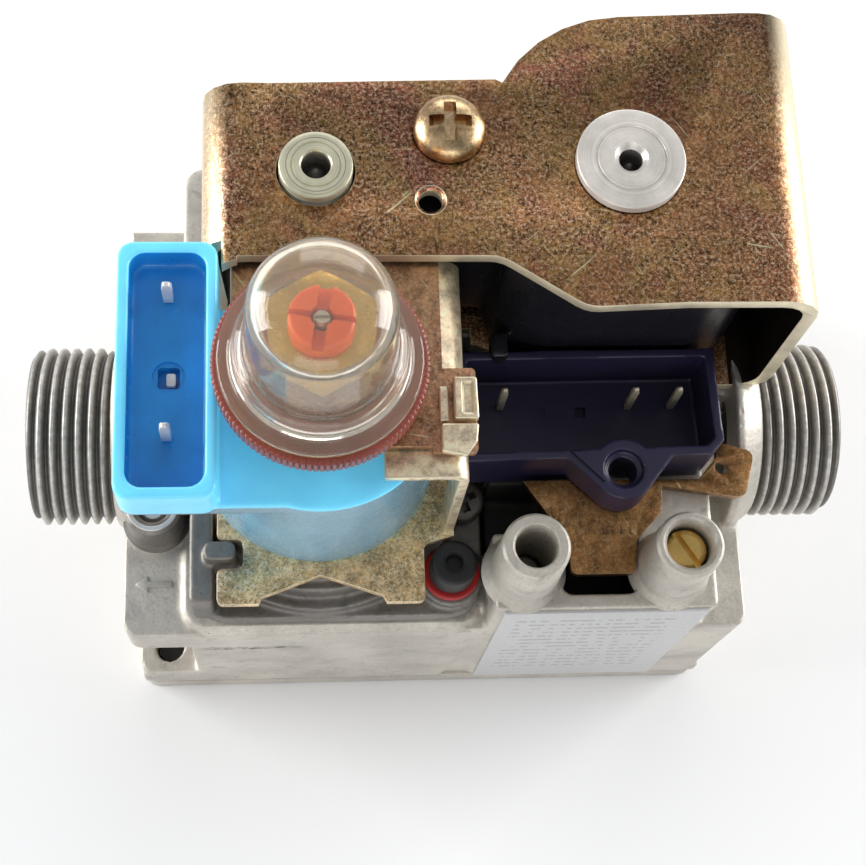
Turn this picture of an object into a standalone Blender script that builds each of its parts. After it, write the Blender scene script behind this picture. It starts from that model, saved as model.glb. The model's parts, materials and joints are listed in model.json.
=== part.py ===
"""Combination gas valve: die-cast body, double solenoid operator and modulating regulator.

Metres, +Z up. The valve lies on its flat rear cover. The origin is on the back of that cover,
midway between the two threaded ends and under their common axis, which runs along X.
"""
import math

import bmesh
import bpy
from mathutils import Matrix, Vector

MM = 0.001
GAP = 0.3 * MM

# Gas connections: G 3/4 male thread at each end of one straight axis.
END_X = 59.6 * MM
AXIS_Z = 38.5 * MM
THREAD_R = 13.22 * MM
PORT_R = 9.2 * MM

# Main block of the body, standing on its gasket.
BODY_LEFT = -46.2 * MM
BODY_RIGHT = 45.5 * MM
BODY_FRONT = -31.0 * MM
BODY_BACK = 44.0 * MM
COVER_T = 3.6 * MM
GASKET_T = 1.0 * MM
BODY_Z = COVER_T + GASKET_T + 2 * GAP
BODY_TOP = 39.5 * MM
DECK_TOP = 50.8 * MM
PEDESTAL_TOP = 53.0 * MM
NOTCH = (-36.8 * MM, 33.2 * MM)
LUG_TOP = 10.5 * MM
REAR_SCREWS = [
    (-41.6 * MM, -26.8 * MM), (-39.0 * MM, 26.0 * MM), (39.0 * MM, -24.0 * MM), (39.0 * MM, 37.0 * MM),
]

# Pressure test nipples on the pedestal.
NIPPLE_Y = -25.4 * MM
NIPPLE_TOP = 67.0 * MM
NIPPLE_R = 4.62 * MM
LEFT_NIPPLE_X = 10.7 * MM
RIGHT_NIPPLE_X = 31.5 * MM

# Solenoid operators: centre, tube radius, valve disc radius and body chamber radius.
EV1 = {
    "at": (23.3 * MM, 22.1 * MM), "tube": 6.0 * MM, "disc": 7.0 * MM, "chamber": 9.5 * MM, "cap": 7.3 * MM,
}
EV2 = {
    "at": (-18.2 * MM, 21.0 * MM), "tube": 4.9 * MM, "disc": 5.6 * MM, "chamber": 7.5 * MM, "cap": 4.85 * MM,
}
SEAT_Z = 26.0 * MM
EV_TRAVEL = 3.0 * MM
PLATE_TOP = 84.5 * MM
SHEET = 2.0 * MM

# Modulating regulator, on its own vertical axis.
REG = (-18.0 * MM, -6.8 * MM)
REG_BASE = 51.3 * MM
THIN_SHEET = 1.5 * MM
COIL_TOP = 78.0 * MM
COIL_R = 16.3 * MM
RING_LOW = 84.9 * MM
RING_TOP = 89.0 * MM
CAP_TOP = 109.0 * MM

# Plug-in connectors.
SOCKET_TOP = 62.0 * MM
BLUE_TOP = 84.5 * MM
BLUE_LOW = (-43.5 * MM, -23.2 * MM, 76.6 * MM)
BLUE_HIGH = (-30.8 * MM, 10.9 * MM, BLUE_TOP)

# Small fittings: offset tap, sealing plug, and the screws of the cover and the bracket.
OFFSET_BOSS = (-41.6 * MM, -13.9 * MM)
OFFSET_TOP = 48.5 * MM
PLUG = (1.0 * MM, -23.8 * MM)
COVER_SCREWS = [(3.0 * MM, -13.0 * MM), (2.6 * MM, 6.0 * MM)]
BRACKET_SCREW = (-0.6 * MM, 26.7 * MM)

SILVER_CAST = ((0.44, 0.43, 0.41), 0.45, 0.9)
YELLOW_ZINC = ((0.55, 0.42, 0.20), 0.35, 1.0)
STEEL = ((0.62, 0.61, 0.58), 0.3, 1.0)
BRASS = ((0.72, 0.50, 0.20), 0.3, 1.0)
BLACK_PLASTIC = ((0.02, 0.02, 0.025), 0.4, 0.0)
NAVY_PLASTIC = ((0.035, 0.03, 0.08), 0.4, 0.0)
BLUE_PLASTIC = ((0.05, 0.35, 0.80), 0.35, 0.0)
RED_PLASTIC = ((0.55, 0.10, 0.05), 0.4, 0.0)
ORANGE_PLASTIC = ((0.85, 0.13, 0.04), 0.4, 0.0)
BLACK_RUBBER = ((0.02, 0.02, 0.02), 0.6, 0.0)
WHITE_PAPER = ((0.80, 0.80, 0.80), 0.5, 0.0)
CLEAR = ((0.95, 0.92, 0.88), 0.05, 0.0)


def collection(name):
    made = bpy.data.collections.new(name)
    bpy.context.scene.collection.children.link(made)
    return made


def clear_scene():
    for obj in list(bpy.data.objects):
        bpy.data.objects.remove(obj, do_unlink=True)


def material(finish):
    colour, roughness, metallic = finish
    name = "mat_%02d%02d%02d_%d" % (*(round(99 * c) for c in colour), round(metallic))
    found = bpy.data.materials.get(name)
    if found:
        return found
    made = bpy.data.materials.new(name)
    made.use_nodes = True
    shader = made.node_tree.nodes["Principled BSDF"]
    shader.inputs["Base Color"].default_value = (*colour, 1.0)
    shader.inputs["Roughness"].default_value = roughness
    shader.inputs["Metallic"].default_value = metallic
    return made


def place(name, mesh):
    """Every shape starts among the cutters. Those given a finish become parts."""
    obj = bpy.data.objects.new(name, mesh)
    CUTTERS.objects.link(obj)
    obj.hide_render = True
    obj.display_type = "WIRE"
    return obj


def from_bmesh(name, bm, matrix=Matrix()):
    bmesh.ops.transform(bm, matrix=matrix, verts=bm.verts)
    bmesh.ops.recalc_face_normals(bm, faces=bm.faces)
    mesh = bpy.data.meshes.new(name)
    bm.to_mesh(mesh)
    bm.free()
    return place(name, mesh)


def finish(obj, look):
    """Turn a shape into a part of the valve, with its material."""
    CUTTERS.objects.unlink(obj)
    PARTS.objects.link(obj)
    obj.hide_render = False
    obj.display_type = "TEXTURED"
    obj.data.materials.append(material(look))
    obj.data.shade_smooth()
    obj.data.set_sharp_from_angle(angle=math.radians(35))
    return obj


def boolean(obj, others, operation):
    for other in others:
        modifier = obj.modifiers.new(other.name, "BOOLEAN")
        modifier.operation = operation
        modifier.object = other
        modifier.solver = "EXACT"
    return obj


def cut(obj, *others):
    return boolean(obj, others, "DIFFERENCE")


def join(obj, *others):
    return boolean(obj, others, "UNION")


def keep(obj, *others):
    return boolean(obj, others, "INTERSECT")


def box(name, low, high, corner=0.0):
    """A box between two points, with rounded upright edges where a corner radius is given."""
    bm = bmesh.new()
    bmesh.ops.create_cube(bm, size=1.0)
    low, high = Vector(low), Vector(high)
    size = high - low
    bmesh.ops.transform(bm, matrix=Matrix.Diagonal((*size, 1.0)), verts=bm.verts)
    if corner:
        upright = [e for e in bm.edges if abs((e.verts[0].co - e.verts[1].co).normalized().z) > 0.9]
        bmesh.ops.bevel(bm, geom=upright, offset=corner, segments=3, profile=0.5, affect="EDGES")
    return from_bmesh(name, bm, Matrix.Translation((low + high) / 2))


TURN = {
    "Z": Matrix(),
    "X": Matrix.Rotation(math.pi / 2, 4, "Y"),
    "Y": Matrix.Rotation(-math.pi / 2, 4, "X"),
}
INDEX = {"X": 0, "Y": 1, "Z": 2}


def rod(name, centre, low, high, radius, end_radius=None, axis="Z", sides=20):
    """A cylinder or cone along an axis, from low to high on that axis."""
    bm = bmesh.new()
    end_radius = radius if end_radius is None else end_radius
    bmesh.ops.create_cone(
        bm, cap_ends=True, segments=sides, radius1=radius, radius2=end_radius, depth=high - low
    )
    middle = list(centre)
    middle.insert(INDEX[axis], (low + high) / 2)
    return from_bmesh(name, bm, Matrix.Translation(middle) @ TURN[axis])


def turned(name, centre, profile, sides=20, closed=False):
    """A turned shape about an upright axis. The profile runs down its outer side."""
    mesh = bpy.data.meshes.new(name)
    points = [(r, 0.0, z) for r, z in profile]
    edges = [(i, i + 1) for i in range(len(points) - 1)]
    if closed:
        edges.append((len(points) - 1, 0))
    mesh.from_pydata(points, edges, [])
    obj = place(name, mesh)
    obj.location = (centre[0], centre[1], 0.0)
    screw = obj.modifiers.new("turn", "SCREW")
    screw.steps = screw.render_steps = sides
    screw.use_merge_vertices = True
    screw.merge_threshold = 1e-5
    return obj


def prism(name, outline, low, high, upright="Z"):
    """A flat outline with thickness: (x, y) between two heights, or (x, z) between two y values."""
    curve = bpy.data.curves.new(name, "CURVE")
    curve.dimensions = "2D"
    curve.fill_mode = "BOTH"
    curve.extrude = (high - low) / 2
    spline = curve.splines.new("POLY")
    spline.points.add(len(outline) - 1)
    for point, (u, v) in zip(spline.points, outline):
        point.co = (u, v, 0.0, 1.0)
    spline.use_cyclic_u = True
    guide = place(name + "_outline", curve)
    mesh = bpy.data.meshes.new_from_object(guide.evaluated_get(bpy.context.evaluated_depsgraph_get()))
    bpy.data.objects.remove(guide)
    bm = bmesh.new()
    bm.from_mesh(mesh)
    bmesh.ops.remove_doubles(bm, verts=bm.verts, dist=1e-6)
    if upright == "Z":
        matrix = Matrix.Translation((0.0, 0.0, (low + high) / 2))
    else:
        matrix = Matrix.Translation((0.0, (low + high) / 2, 0.0)) @ Matrix.Rotation(math.pi / 2, 4, "X")
    return from_bmesh(name, bm, matrix)


def rounded(points, steps=3):
    """Corners given as (x, y, radius), each replaced by an arc."""
    outline = []
    for i, (x, y, radius) in enumerate(points):
        here = Vector((x, y))
        if not radius:
            outline.append(here)
            continue
        before = (Vector(points[i - 1][:2]) - here).normalized()
        after = (Vector(points[(i + 1) % len(points)][:2]) - here).normalized()
        half = before.angle(after) / 2
        reach = radius / math.tan(half)
        centre = here + (before + after).normalized() * (radius / math.sin(half))
        start = here + before * reach - centre
        sweep = start.angle_signed(here + after * reach - centre)
        for step in range(steps + 1):
            outline.append(centre + Matrix.Rotation(-sweep * step / steps, 2) @ start)
    return [(p.x, p.y) for p in outline]


def mm(*points):
    return [tuple(value * MM for value in point) for point in points]


def bent_strip(corners, thickness, bend):
    """Closed outline of a bent sheet from its centre line, with a bend radius at each inner corner."""
    ends = [(*corners[0], 0.0)] + [(*c, bend) for c in corners[1:-1]] + [(*corners[-1], 0.0)]
    line = [Vector(p) for p in rounded(ends, steps=4)]
    sides = ([], [])
    for i, point in enumerate(line):
        before = (point - line[i - 1]).normalized() if i else Vector((0.0, 0.0))
        after = (line[i + 1] - point).normalized() if i + 1 < len(line) else Vector((0.0, 0.0))
        along = (before + after).normalized()
        normal = Vector((-along.y, along.x))
        widen = 1 / max(normal.dot(Vector((-(after or before).y, (after or before).x))), 0.5)
        for side, sign in zip(sides, (1, -1)):
            side.append(point + normal * sign * widen * thickness / 2)
    return [(p.x, p.y) for p in sides[0] + sides[1][::-1]]


def spring(name, centre, low, high, radius, wire, turns):
    """A compression spring on an upright axis."""
    per_turn = 8
    curve = bpy.data.curves.new(name, "CURVE")
    curve.dimensions = "3D"
    curve.bevel_depth = wire
    curve.bevel_resolution = 1
    curve.use_fill_caps = True
    spline = curve.splines.new("POLY")
    count = turns * per_turn
    spline.points.add(count)
    for i, point in enumerate(spline.points):
        angle = 2 * math.pi * i / per_turn
        height = low + wire + (high - low - 2 * wire) * i / count
        point.co = (radius * math.cos(angle), radius * math.sin(angle), height, 1.0)
    obj = place(name, curve)
    obj.location = (*centre, 0.0)
    PARTS.objects.link(obj)
    CUTTERS.objects.unlink(obj)
    obj.hide_render = False
    obj.display_type = "TEXTURED"
    curve.materials.append(material(STEEL))
    return obj


def slotted(name, centre, top, head_r, head_h, shank_r, depth, look, cross=False):
    """A screw with a slotted or cross-recessed head whose top is at the given height."""
    under = top - head_h
    screw = turned(name, centre, [
        (0.0, top), (head_r * 0.8, top), (head_r, top - head_h * 0.3), (head_r, under),
        (shank_r, under), (shank_r, under - depth), (0.0, under - depth)], sides=20)
    x, y = centre
    width = 0.22 * head_r
    reach = 1.2 * head_r if not cross else 0.6 * head_r
    floor = top - head_h * 0.5
    cutters = [box(name + "_slot", (x - reach, y - width, floor), (x + reach, y + width, top + MM))]
    if cross:
        cutters.append(box(name + "_cross", (x - width, y - reach, floor), (x + width, y + reach, top + MM)))
    return finish(cut(screw, *cutters), look)


def body_shape():
    """The casting before its passages are cut."""
    body = box("valve_body", (BODY_LEFT, BODY_FRONT, BODY_Z), (BODY_RIGHT, BODY_BACK, BODY_TOP), 2 * MM)
    low = BODY_TOP - 10 * MM
    right_deck = box("right_deck", (7.8 * MM, 1.5 * MM, low), (44.8 * MM, BODY_BACK - MM, DECK_TOP), 3 * MM)
    left_deck = box("left_deck", (-37.5 * MM, 10.9 * MM, low), (12 * MM, 38.7 * MM, DECK_TOP), 3 * MM)
    pedestal = box("pedestal", (6.4 * MM, BODY_FRONT, low), (38.2 * MM, -12.4 * MM, PEDESTAL_TOP), MM)
    middle = box("middle_deck", (6.5 * MM, -14 * MM, low), (38.1 * MM, 3 * MM, DECK_TOP - 0.2 * MM))
    join(body, right_deck, left_deck, pedestal, middle)
    for side, sign, inner in (("left", -1, 37.6 * MM), ("right", 1, 43.8 * MM)):
        low, high = sorted((sign * inner, sign * END_X))
        join(body, rod(side + "_neck", (0.0, AXIS_Z), low, high, THREAD_R, axis="X", sides=40))
        flare = [16.0 * MM, THREAD_R + 0.1 * MM]
        low, high = sorted((sign * 44.0 * MM, sign * 47.6 * MM))
        join(body, rod(side + "_flare", (0.0, AXIS_Z), low, high, *flare[::sign], axis="X", sides=40))
    join(body, rod("right_collar", (0.0, AXIS_Z), 39 * MM, 44.5 * MM, 9 * MM, axis="X", sides=32))
    for side, x in (("left", LEFT_NIPPLE_X), ("right", RIGHT_NIPPLE_X)):
        join(body, rod(side + "_nipple", (x, NIPPLE_Y), 45 * MM, NIPPLE_TOP, 4.9 * MM, NIPPLE_R, sides=28))
    return join(body, rod("offset_boss", OFFSET_BOSS, 30 * MM, OFFSET_TOP, 4.2 * MM))


def valve_body():
    body = body_shape()
    for side, sign, drop_x in (("left", -1, -39.5 * MM), ("right", 1, 38.5 * MM)):
        low, high = sorted((sign * 44 * MM, sign * (END_X + MM)))
        cut(body, rod(side + "_port", (0.0, AXIS_Z), low, high, PORT_R, axis="X"))
        low, high = sorted((drop_x - sign * 0.5 * MM, sign * 45 * MM))
        cut(body, rod(side + "_throat", (0.0, AXIS_Z), low, high, 6.2 * MM, axis="X"))
        cut(body, rod(side + "_drop", (drop_x, 0.0), 22 * MM, AXIS_Z - 0.4 * MM, 6.0 * MM))
    for name, valve in (("ev1", EV1), ("ev2", EV2)):
        x, y = valve["at"]
        cut(body, rod(name + "_chamber", (x, y), SEAT_Z, DECK_TOP + MM, valve["chamber"]))
        cut(body, rod(name + "_seat", (x, y), 14 * MM, SEAT_Z + MM, 0.62 * valve["disc"]))
    x1, y1 = EV1["at"]
    x2, y2 = EV2["at"]
    cut(
        body,
        rod("link", (y2, 14 * MM), x2, x1, 3.6 * MM, axis="X"),
        rod("inlet_y", (38.5 * MM, 30 * MM), -MM, y1, 4.5 * MM, axis="Y"),
        rod("inlet_x", (y1, 30 * MM), x1, 38.5 * MM, 4.4 * MM, axis="X"),
        rod("outlet_y", (x2, 30 * MM), -MM, y2, 4.5 * MM, axis="Y"),
        rod("outlet_x", (0.0, 30 * MM), -39.5 * MM, x2, 4.4 * MM, axis="X"),
        rod("sensing_port", REG, 29 * MM, BODY_TOP + MM, 3.5 * MM),
        rod("left_nipple_bore", (LEFT_NIPPLE_X, NIPPLE_Y), 49 * MM, NIPPLE_TOP + MM, 2.9 * MM),
        rod("right_nipple_bore", (RIGHT_NIPPLE_X, NIPPLE_Y), 56 * MM, NIPPLE_TOP + MM, 3.2 * MM),
        rod("offset_bore", OFFSET_BOSS, OFFSET_TOP - 7.5 * MM, OFFSET_TOP + MM, 2.3 * MM),
        box("pocket", (16 * MM, -28.8 * MM, 41 * MM), (27 * MM, -15 * MM, PEDESTAL_TOP + MM), 1.5 * MM),
        box("left_pocket", (5.5 * MM, -19.8 * MM, 42 * MM), (15 * MM, -12.1 * MM, PEDESTAL_TOP + MM), MM),
        box("bracket_bed", (39 * MM, 1.2 * MM, DECK_TOP), (49 * MM, 20 * MM, 60 * MM)),
        box("lug_notch", (-50 * MM, -35 * MM, LUG_TOP), (-37.0 * MM, -22.5 * MM, 31 * MM)),
        box("corner_notch", (-50 * MM, NOTCH[1], -MM), (NOTCH[0], 50 * MM, BODY_TOP + MM)),
        box("back_notch", (-50 * MM, 39.0 * MM, -MM), (-28 * MM, 50 * MM, BODY_TOP + MM)),
    )
    for i, at in enumerate(REAR_SCREWS):
        cut(body, rod("rear_hole_%d" % i, at, BODY_Z - MM, 15 * MM, 2.2 * MM, sides=16))
    for i, at in enumerate(COVER_SCREWS):
        cut(body, rod("cover_hole_%d" % i, at, 30 * MM, BODY_TOP + MM, 1.9 * MM, sides=16))
    return finish(body, SILVER_CAST)


def rear_cover():
    low, high = (BODY_LEFT, BODY_FRONT), (BODY_RIGHT, BODY_BACK)
    cover = box("rear_cover", (*low, 0.0), (*high, COVER_T), 2 * MM)
    gasket = box("rear_gasket", (*low, COVER_T + GAP), (*high, COVER_T + GAP + GASKET_T), 2 * MM)
    inner_low = (low[0] + 10 * MM, low[1] + 10 * MM, COVER_T - MM)
    inner_high = (high[0] - 10 * MM, high[1] - 10 * MM, BODY_Z + MM)
    cut(gasket, box("gasket_window", inner_low, inner_high, 3 * MM))
    corner = box("cover_notch", (-50 * MM, NOTCH[1] - 2 * MM, -MM), (NOTCH[0] + 2 * MM, 50 * MM, BODY_Z + MM))
    cut(cover, corner)
    cut(gasket, corner)
    for i, (x, y) in enumerate(REAR_SCREWS):
        through = rod("rear_through_%d" % i, (x, y), -MM, BODY_Z + MM, 2.3 * MM, sides=16)
        cut(cover, through, rod("rear_bore_%d" % i, (x, y), -MM, 2.1 * MM, 3.7 * MM, sides=20))
        cut(gasket, through)
        screw = rod("rear_screw_%d" % (i + 1), (x, y), 0.2 * MM, 1.8 * MM, 3.3 * MM, sides=20)
        join(screw, rod("rear_shank_%d" % i, (x, y), 1.5 * MM, 8.5 * MM, 1.9 * MM, sides=16))
        cut(screw, rod("rear_socket_%d" % i, (x, y), -MM, 1.1 * MM, 1.6 * MM, sides=6))
        finish(screw, STEEL)
    finish(cover, SILVER_CAST)
    finish(gasket, BLACK_RUBBER)


def inlet_filter():
    """Cup strainer in the inlet port, open towards the pipe."""
    depth = 9 * MM
    strainer = rod("inlet_filter", (0.0, AXIS_Z), END_X - 2 * MM - depth, END_X - 2 * MM, 8.8 * MM, axis="X")
    hollow = rod("filter_hollow", (0.0, AXIS_Z), END_X - 1.2 * MM - depth, END_X, 8.0 * MM, axis="X")
    cut(strainer, hollow)
    for row in (-1, 0, 1):
        for column in (-1, 0, 1):
            at = (row * 4 * MM, AXIS_Z + column * 4 * MM)
            name = "filter_hole_%d%d" % (row + 1, column + 1)
            cut(strainer, rod(name, at, END_X - 15 * MM, END_X - 9 * MM, 1.3 * MM, axis="X", sides=8))
    finish(strainer, STEEL)


def test_screws():
    right, left = (RIGHT_NIPPLE_X, NIPPLE_Y), (LEFT_NIPPLE_X, NIPPLE_Y)
    slotted("inlet_test_screw", right, 64.2 * MM, 2.9 * MM, 4 * MM, 2.2 * MM, 3.5 * MM, BRASS)
    slotted("outlet_test_screw", left, 52.6 * MM, 2.6 * MM, 2 * MM, 2.0 * MM, 1.2 * MM, BRASS)
    slotted("offset_screw", OFFSET_BOSS, OFFSET_TOP - 0.9 * MM, 2.0 * MM, 2.5 * MM, 1.5 * MM, 3 * MM, STEEL)


def label_plate():
    low = (7.8 * MM, BODY_FRONT - 0.4 * MM, 5.6 * MM)
    finish(box("label_plate", low, (37 * MM, BODY_FRONT - 0.2 * MM, 52.4 * MM)), WHITE_PAPER)


def regulator_cover():
    """Cast cover over the diaphragm, with the plug boss and the hook that holds the yoke."""
    low, high = (-36.2 * MM, -29.6 * MM), (5.8 * MM, 10.2 * MM)
    foot = BODY_TOP + 1.2 * MM
    cover = box("regulator_cover", (*low, foot), (*high, 44.0 * MM), 5 * MM)
    join(
        cover,
        rod("cover_drum", REG, 43 * MM, 47.6 * MM, 16.9 * MM, sides=40),
        rod("cover_front", (REG[0], REG[1]), 42 * MM, 46.5 * MM, 21.9 * MM, 21.3 * MM, sides=48),
        rod("cover_top", REG, 46 * MM, REG_BASE - GAP, 20.2 * MM, 19.8 * MM, sides=48),
        box("cover_column", (-36.1 * MM, -29 * MM, 42 * MM), (-32.8 * MM, -15.5 * MM, 52.4 * MM), MM),
        box("cover_hook", (-34 * MM, -23.6 * MM, 48 * MM), (-29.6 * MM, -20.9 * MM, 55.2 * MM), MM),
        rod("plug_boss", PLUG, 42 * MM, 45.6 * MM, 4.7 * MM),
    )
    keep(cover, box("cover_limits", (low[0], low[1], foot), (high[0], high[1], 60 * MM), 5 * MM))
    cut(
        cover,
        rod("cover_chamber", REG, foot - MM, 49 * MM, 15 * MM, sides=32),
        rod("cover_stem_hole", REG, 48 * MM, 52 * MM, 2.2 * MM, sides=16),
        rod("plug_spot", PLUG, 45.6 * MM, 60 * MM, 5.2 * MM),
        rod("plug_hole", PLUG, foot - MM, 47 * MM, 2.2 * MM, sides=16),
    )
    for i, at in enumerate(COVER_SCREWS):
        cut(cover, rod("cover_through_%d" % i, at, foot - MM, 50 * MM, 2.0 * MM, sides=16))
        cut(cover, rod("cover_spot_%d" % i, at, 44 * MM, 52 * MM, 3.7 * MM, sides=20))
        slotted("regulator_cover_screw_%d" % (i + 1), at, 47.2 * MM, 3.2 * MM, 2.8 * MM, 1.6 * MM,
                11 * MM, STEEL, cross=True)
    finish(cover, SILVER_CAST)


def regulator_inside():
    rim = BODY_TOP + GAP
    diaphragm = turned("diaphragm", REG, [
        (0.0, rim + 0.6 * MM), (11.2 * MM, rim + 0.6 * MM), (13 * MM, rim + 1.4 * MM),
        (14.6 * MM, rim + 1.4 * MM), (14.7 * MM, rim + 0.6 * MM), (17.5 * MM, rim + 0.6 * MM),
        (17.5 * MM, rim), (14.2 * MM, rim), (14.0 * MM, rim + 0.8 * MM), (13.3 * MM, rim + 0.8 * MM),
        (11.5 * MM, rim), (0.0, rim)], sides=32)
    finish(diaphragm, BLACK_RUBBER)
    plate = rod("diaphragm_plate", REG, rim + 0.9 * MM, rim + 1.7 * MM, 10.6 * MM)
    finish(join(plate, rod("spring_seat", REG, rim + 1.2 * MM, rim + 3 * MM, 2.6 * MM)), STEEL)
    spring("regulator_spring", REG, rim + 2.0 * MM, 46.2 * MM, 3.6 * MM, 0.4 * MM, 3)


def breather_plug():
    seal = turned("plug_seal", PLUG, [
        (4.1 * MM, 47 * MM), (4.1 * MM, 45.9 * MM), (2.5 * MM, 45.9 * MM), (2.5 * MM, 47 * MM)], closed=True)
    finish(seal, RED_PLASTIC)
    plug = turned("breather_plug", PLUG, [
        (0.0, 52.4 * MM), (2.8 * MM, 52.4 * MM), (3.3 * MM, 51.8 * MM), (3.3 * MM, 47.3 * MM),
        (1.9 * MM, 47.3 * MM), (1.9 * MM, 43 * MM), (0.0, 43 * MM)])
    finish(plug, BLACK_RUBBER)


def coil_block():
    """Moulded block with both solenoid windings, between the bracket's two plates."""
    low, high = 53.6 * MM, 82.2 * MM
    block = box("coil_block", (6 * MM, 5.2 * MM, low), (42.8 * MM, 39.2 * MM, high), 8 * MM)
    bar = box("coil_bar", (-20 * MM, 13.5 * MM, 56 * MM), (10 * MM, 30.5 * MM, 80 * MM), 2 * MM)
    join(block, rod("small_coil", EV2["at"], low, high, 9.9 * MM, sides=32), bar)
    for name, valve in (("ev1", EV1), ("ev2", EV2)):
        cut(block, rod(name + "_coil_bore", valve["at"], low - MM, high + MM, valve["tube"] + GAP, sides=28))
    cut(block, rod("bracket_screw_bore", BRACKET_SCREW, 66 * MM, 84 * MM, 2.4 * MM, sides=16))
    return finish(block, BLACK_PLASTIC)


def ev_bracket():
    """Bent steel yoke round the solenoids: top plate, right wall, base and a short left wall."""
    half = SHEET / 2
    wall_x, top, base = 47.1 * MM, PLATE_TOP - half, DECK_TOP + GAP + half
    path = [(-29 * MM, base), (wall_x, base), (wall_x, top), (-32.2 * MM, top), (-32.2 * MM, 60 * MM)]
    sheet = prism("ev_bracket", bent_strip(path, SHEET, 4.5 * MM), MM, 46 * MM, "Y")
    crown = Vector((24.0 * MM, 25.0 * MM))
    reach = Vector((0.0, 19.4 * MM))
    arc = [crown + Matrix.Rotation(math.radians(-angle), 2) @ reach for angle in range(-62, 1, 12)]
    outline = rounded(mm(
        (-40, 34.0, 0), (-40, 11.3, 0), (-30.4, 11.3, 0), (-30.4, 8.0, 0), (-28.4, 8.4, 0),
        (-28.4, 8.8, 0), (5.6, 8.8, 5), (16.6, 1.6, 5), (30, 2.2, 0), (50, 2.2, 0), (50, 45.3, 0)))
    outline += [(40 * MM, 45.2 * MM)] + [(p.x, p.y) for p in arc[::-1]] + mm((6.0, 34.6), (-24, 33.8))
    keep(sheet, prism("bracket_plan", outline, 40 * MM, 90 * MM))
    cut(sheet, box("base_relief", (-40 * MM, -MM, 45 * MM), (4.6 * MM, 11.3 * MM, 58 * MM)))
    cut(sheet, box("socket_relief", (4 * MM, -MM, 45 * MM), (39.4 * MM, 5 * MM, 58 * MM)))
    for name, valve in (("ev1", EV1), ("ev2", EV2)):
        radius = valve["tube"] + GAP
        cut(sheet, rod(name + "_plate_hole", valve["at"], 49 * MM, 90 * MM, radius, sides=28))
    hole_at = (-3.3 * MM, 16.7 * MM)
    cut(sheet, rod("plate_hole", hole_at, 80 * MM, 90 * MM, 1.6 * MM, sides=20))
    cut(sheet, rod("plate_hole_rim", hole_at, PLATE_TOP - 0.5 * MM, PLATE_TOP + 0.1 * MM, 1.6 * MM, 2.2 * MM))
    cut(sheet, rod("screw_hole", BRACKET_SCREW, 80 * MM, 90 * MM, 2.4 * MM, sides=16))
    finish(sheet, YELLOW_ZINC)
    head_top = 88.0 * MM
    slotted("bracket_screw", BRACKET_SCREW, head_top, 4.8 * MM, 3.2 * MM, 2 * MM, 17 * MM, YELLOW_ZINC, True)


def operator(name, valve):
    """One solenoid operator: guide tube, fixed core, plunger with its valve disc, and return spring."""
    at, bore = valve["at"], valve["tube"] - 0.6 * MM
    tube_low, tube_top = 48.6 * MM, PLATE_TOP - 0.6 * MM
    flange = valve["chamber"] - GAP
    tube = turned(name + "_tube", at, [
        (valve["tube"], tube_top), (valve["tube"], tube_low + 1.6 * MM), (flange, tube_low + 1.6 * MM),
        (flange, tube_low), (bore, tube_low), (bore, tube_top)], closed=True)
    finish(tube, STEEL)
    fit = bore - GAP
    core_low = 71.5 * MM
    cap_low, cap_top = PLATE_TOP + GAP, PLATE_TOP + 1.6 * MM
    hole = 0.24 * valve["cap"]
    core = turned(name + "_core", at, [
        (0.0, cap_top - 4 * MM), (hole, cap_top - 3.5 * MM), (hole, cap_top - MM), (1.6 * hole, cap_top),
        (0.92 * valve["cap"], cap_top), (valve["cap"], cap_top - 0.4 * MM), (valve["cap"], cap_low),
        (fit, cap_low), (fit, core_low), (0.0, core_low)])
    finish(core, STEEL)
    pocket, stem = 0.56 * fit, 0.38 * fit
    plunger_top, plunger_low, disc_top = core_low - EV_TRAVEL - 0.5 * MM, 55 * MM, SEAT_Z + 2.4 * MM
    plunger = turned(name + "_plunger", at, [
        (0.0, 61.5 * MM), (pocket, 61.5 * MM), (pocket, plunger_top), (fit, plunger_top), (fit, plunger_low),
        (stem, plunger_low), (stem, disc_top + GAP), (0.0, disc_top + GAP)])
    finish(plunger, STEEL)
    disc = turned(name + "_valve_disc", at, [
        (0.0, disc_top), (valve["disc"], disc_top), (valve["disc"], SEAT_Z + GAP), (0.0, SEAT_Z + GAP)])
    finish(disc, BLACK_RUBBER)
    spring(name + "_spring", at, 61.8 * MM, core_low - GAP, pocket - 0.75 * MM, 0.35 * MM, 4)


def coil_connector():
    """Plug socket of the solenoids: open upwards, with a fixing ear towards the front."""
    low = 51.4 * MM
    outline = mm((1.6, -12.0), (36.8, -11.2), (38.7, -9.2), (38.2, 4.6), (1.6, 4.2))
    shell = prism("coil_connector", outline, low, SOCKET_TOP)
    ear_at = (24.2 * MM, -13.2 * MM)
    ear_outline = mm((15.8, -11), (21.2, -16.3), (27.2, -16.4), (31.6, -11))
    ear = prism("connector_ear", ear_outline, 55.1 * MM, SOCKET_TOP)
    join(shell, ear, rod("ear_round", ear_at, 55.1 * MM, SOCKET_TOP, 4.3 * MM))
    inner = mm((2.9, -10.7), (36.2, -9.9), (37.4, -8.7), (36.9, 3.3), (2.9, 2.9))
    cut(
        shell,
        prism("socket_hollow", inner, 53 * MM, SOCKET_TOP + MM),
        rod("ear_hole", ear_at, 50 * MM, 64 * MM, 1.9 * MM, sides=8),
        rod("ear_spot", ear_at, SOCKET_TOP - MM, 64 * MM, 2.5 * MM, sides=24),
    )
    finish(shell, NAVY_PLASTIC)
    for i, x in enumerate(mm((8.3,), (27.0,), (33.3,))):
        low_corner = (x[0] - 0.5 * MM, -1.7 * MM, 53.3 * MM)
        pin = box("connector_pin_%d" % (i + 1), low_corner, (x[0] + 0.5 * MM, -0.7 * MM, 61.2 * MM))
        finish(pin, BRASS)


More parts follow.
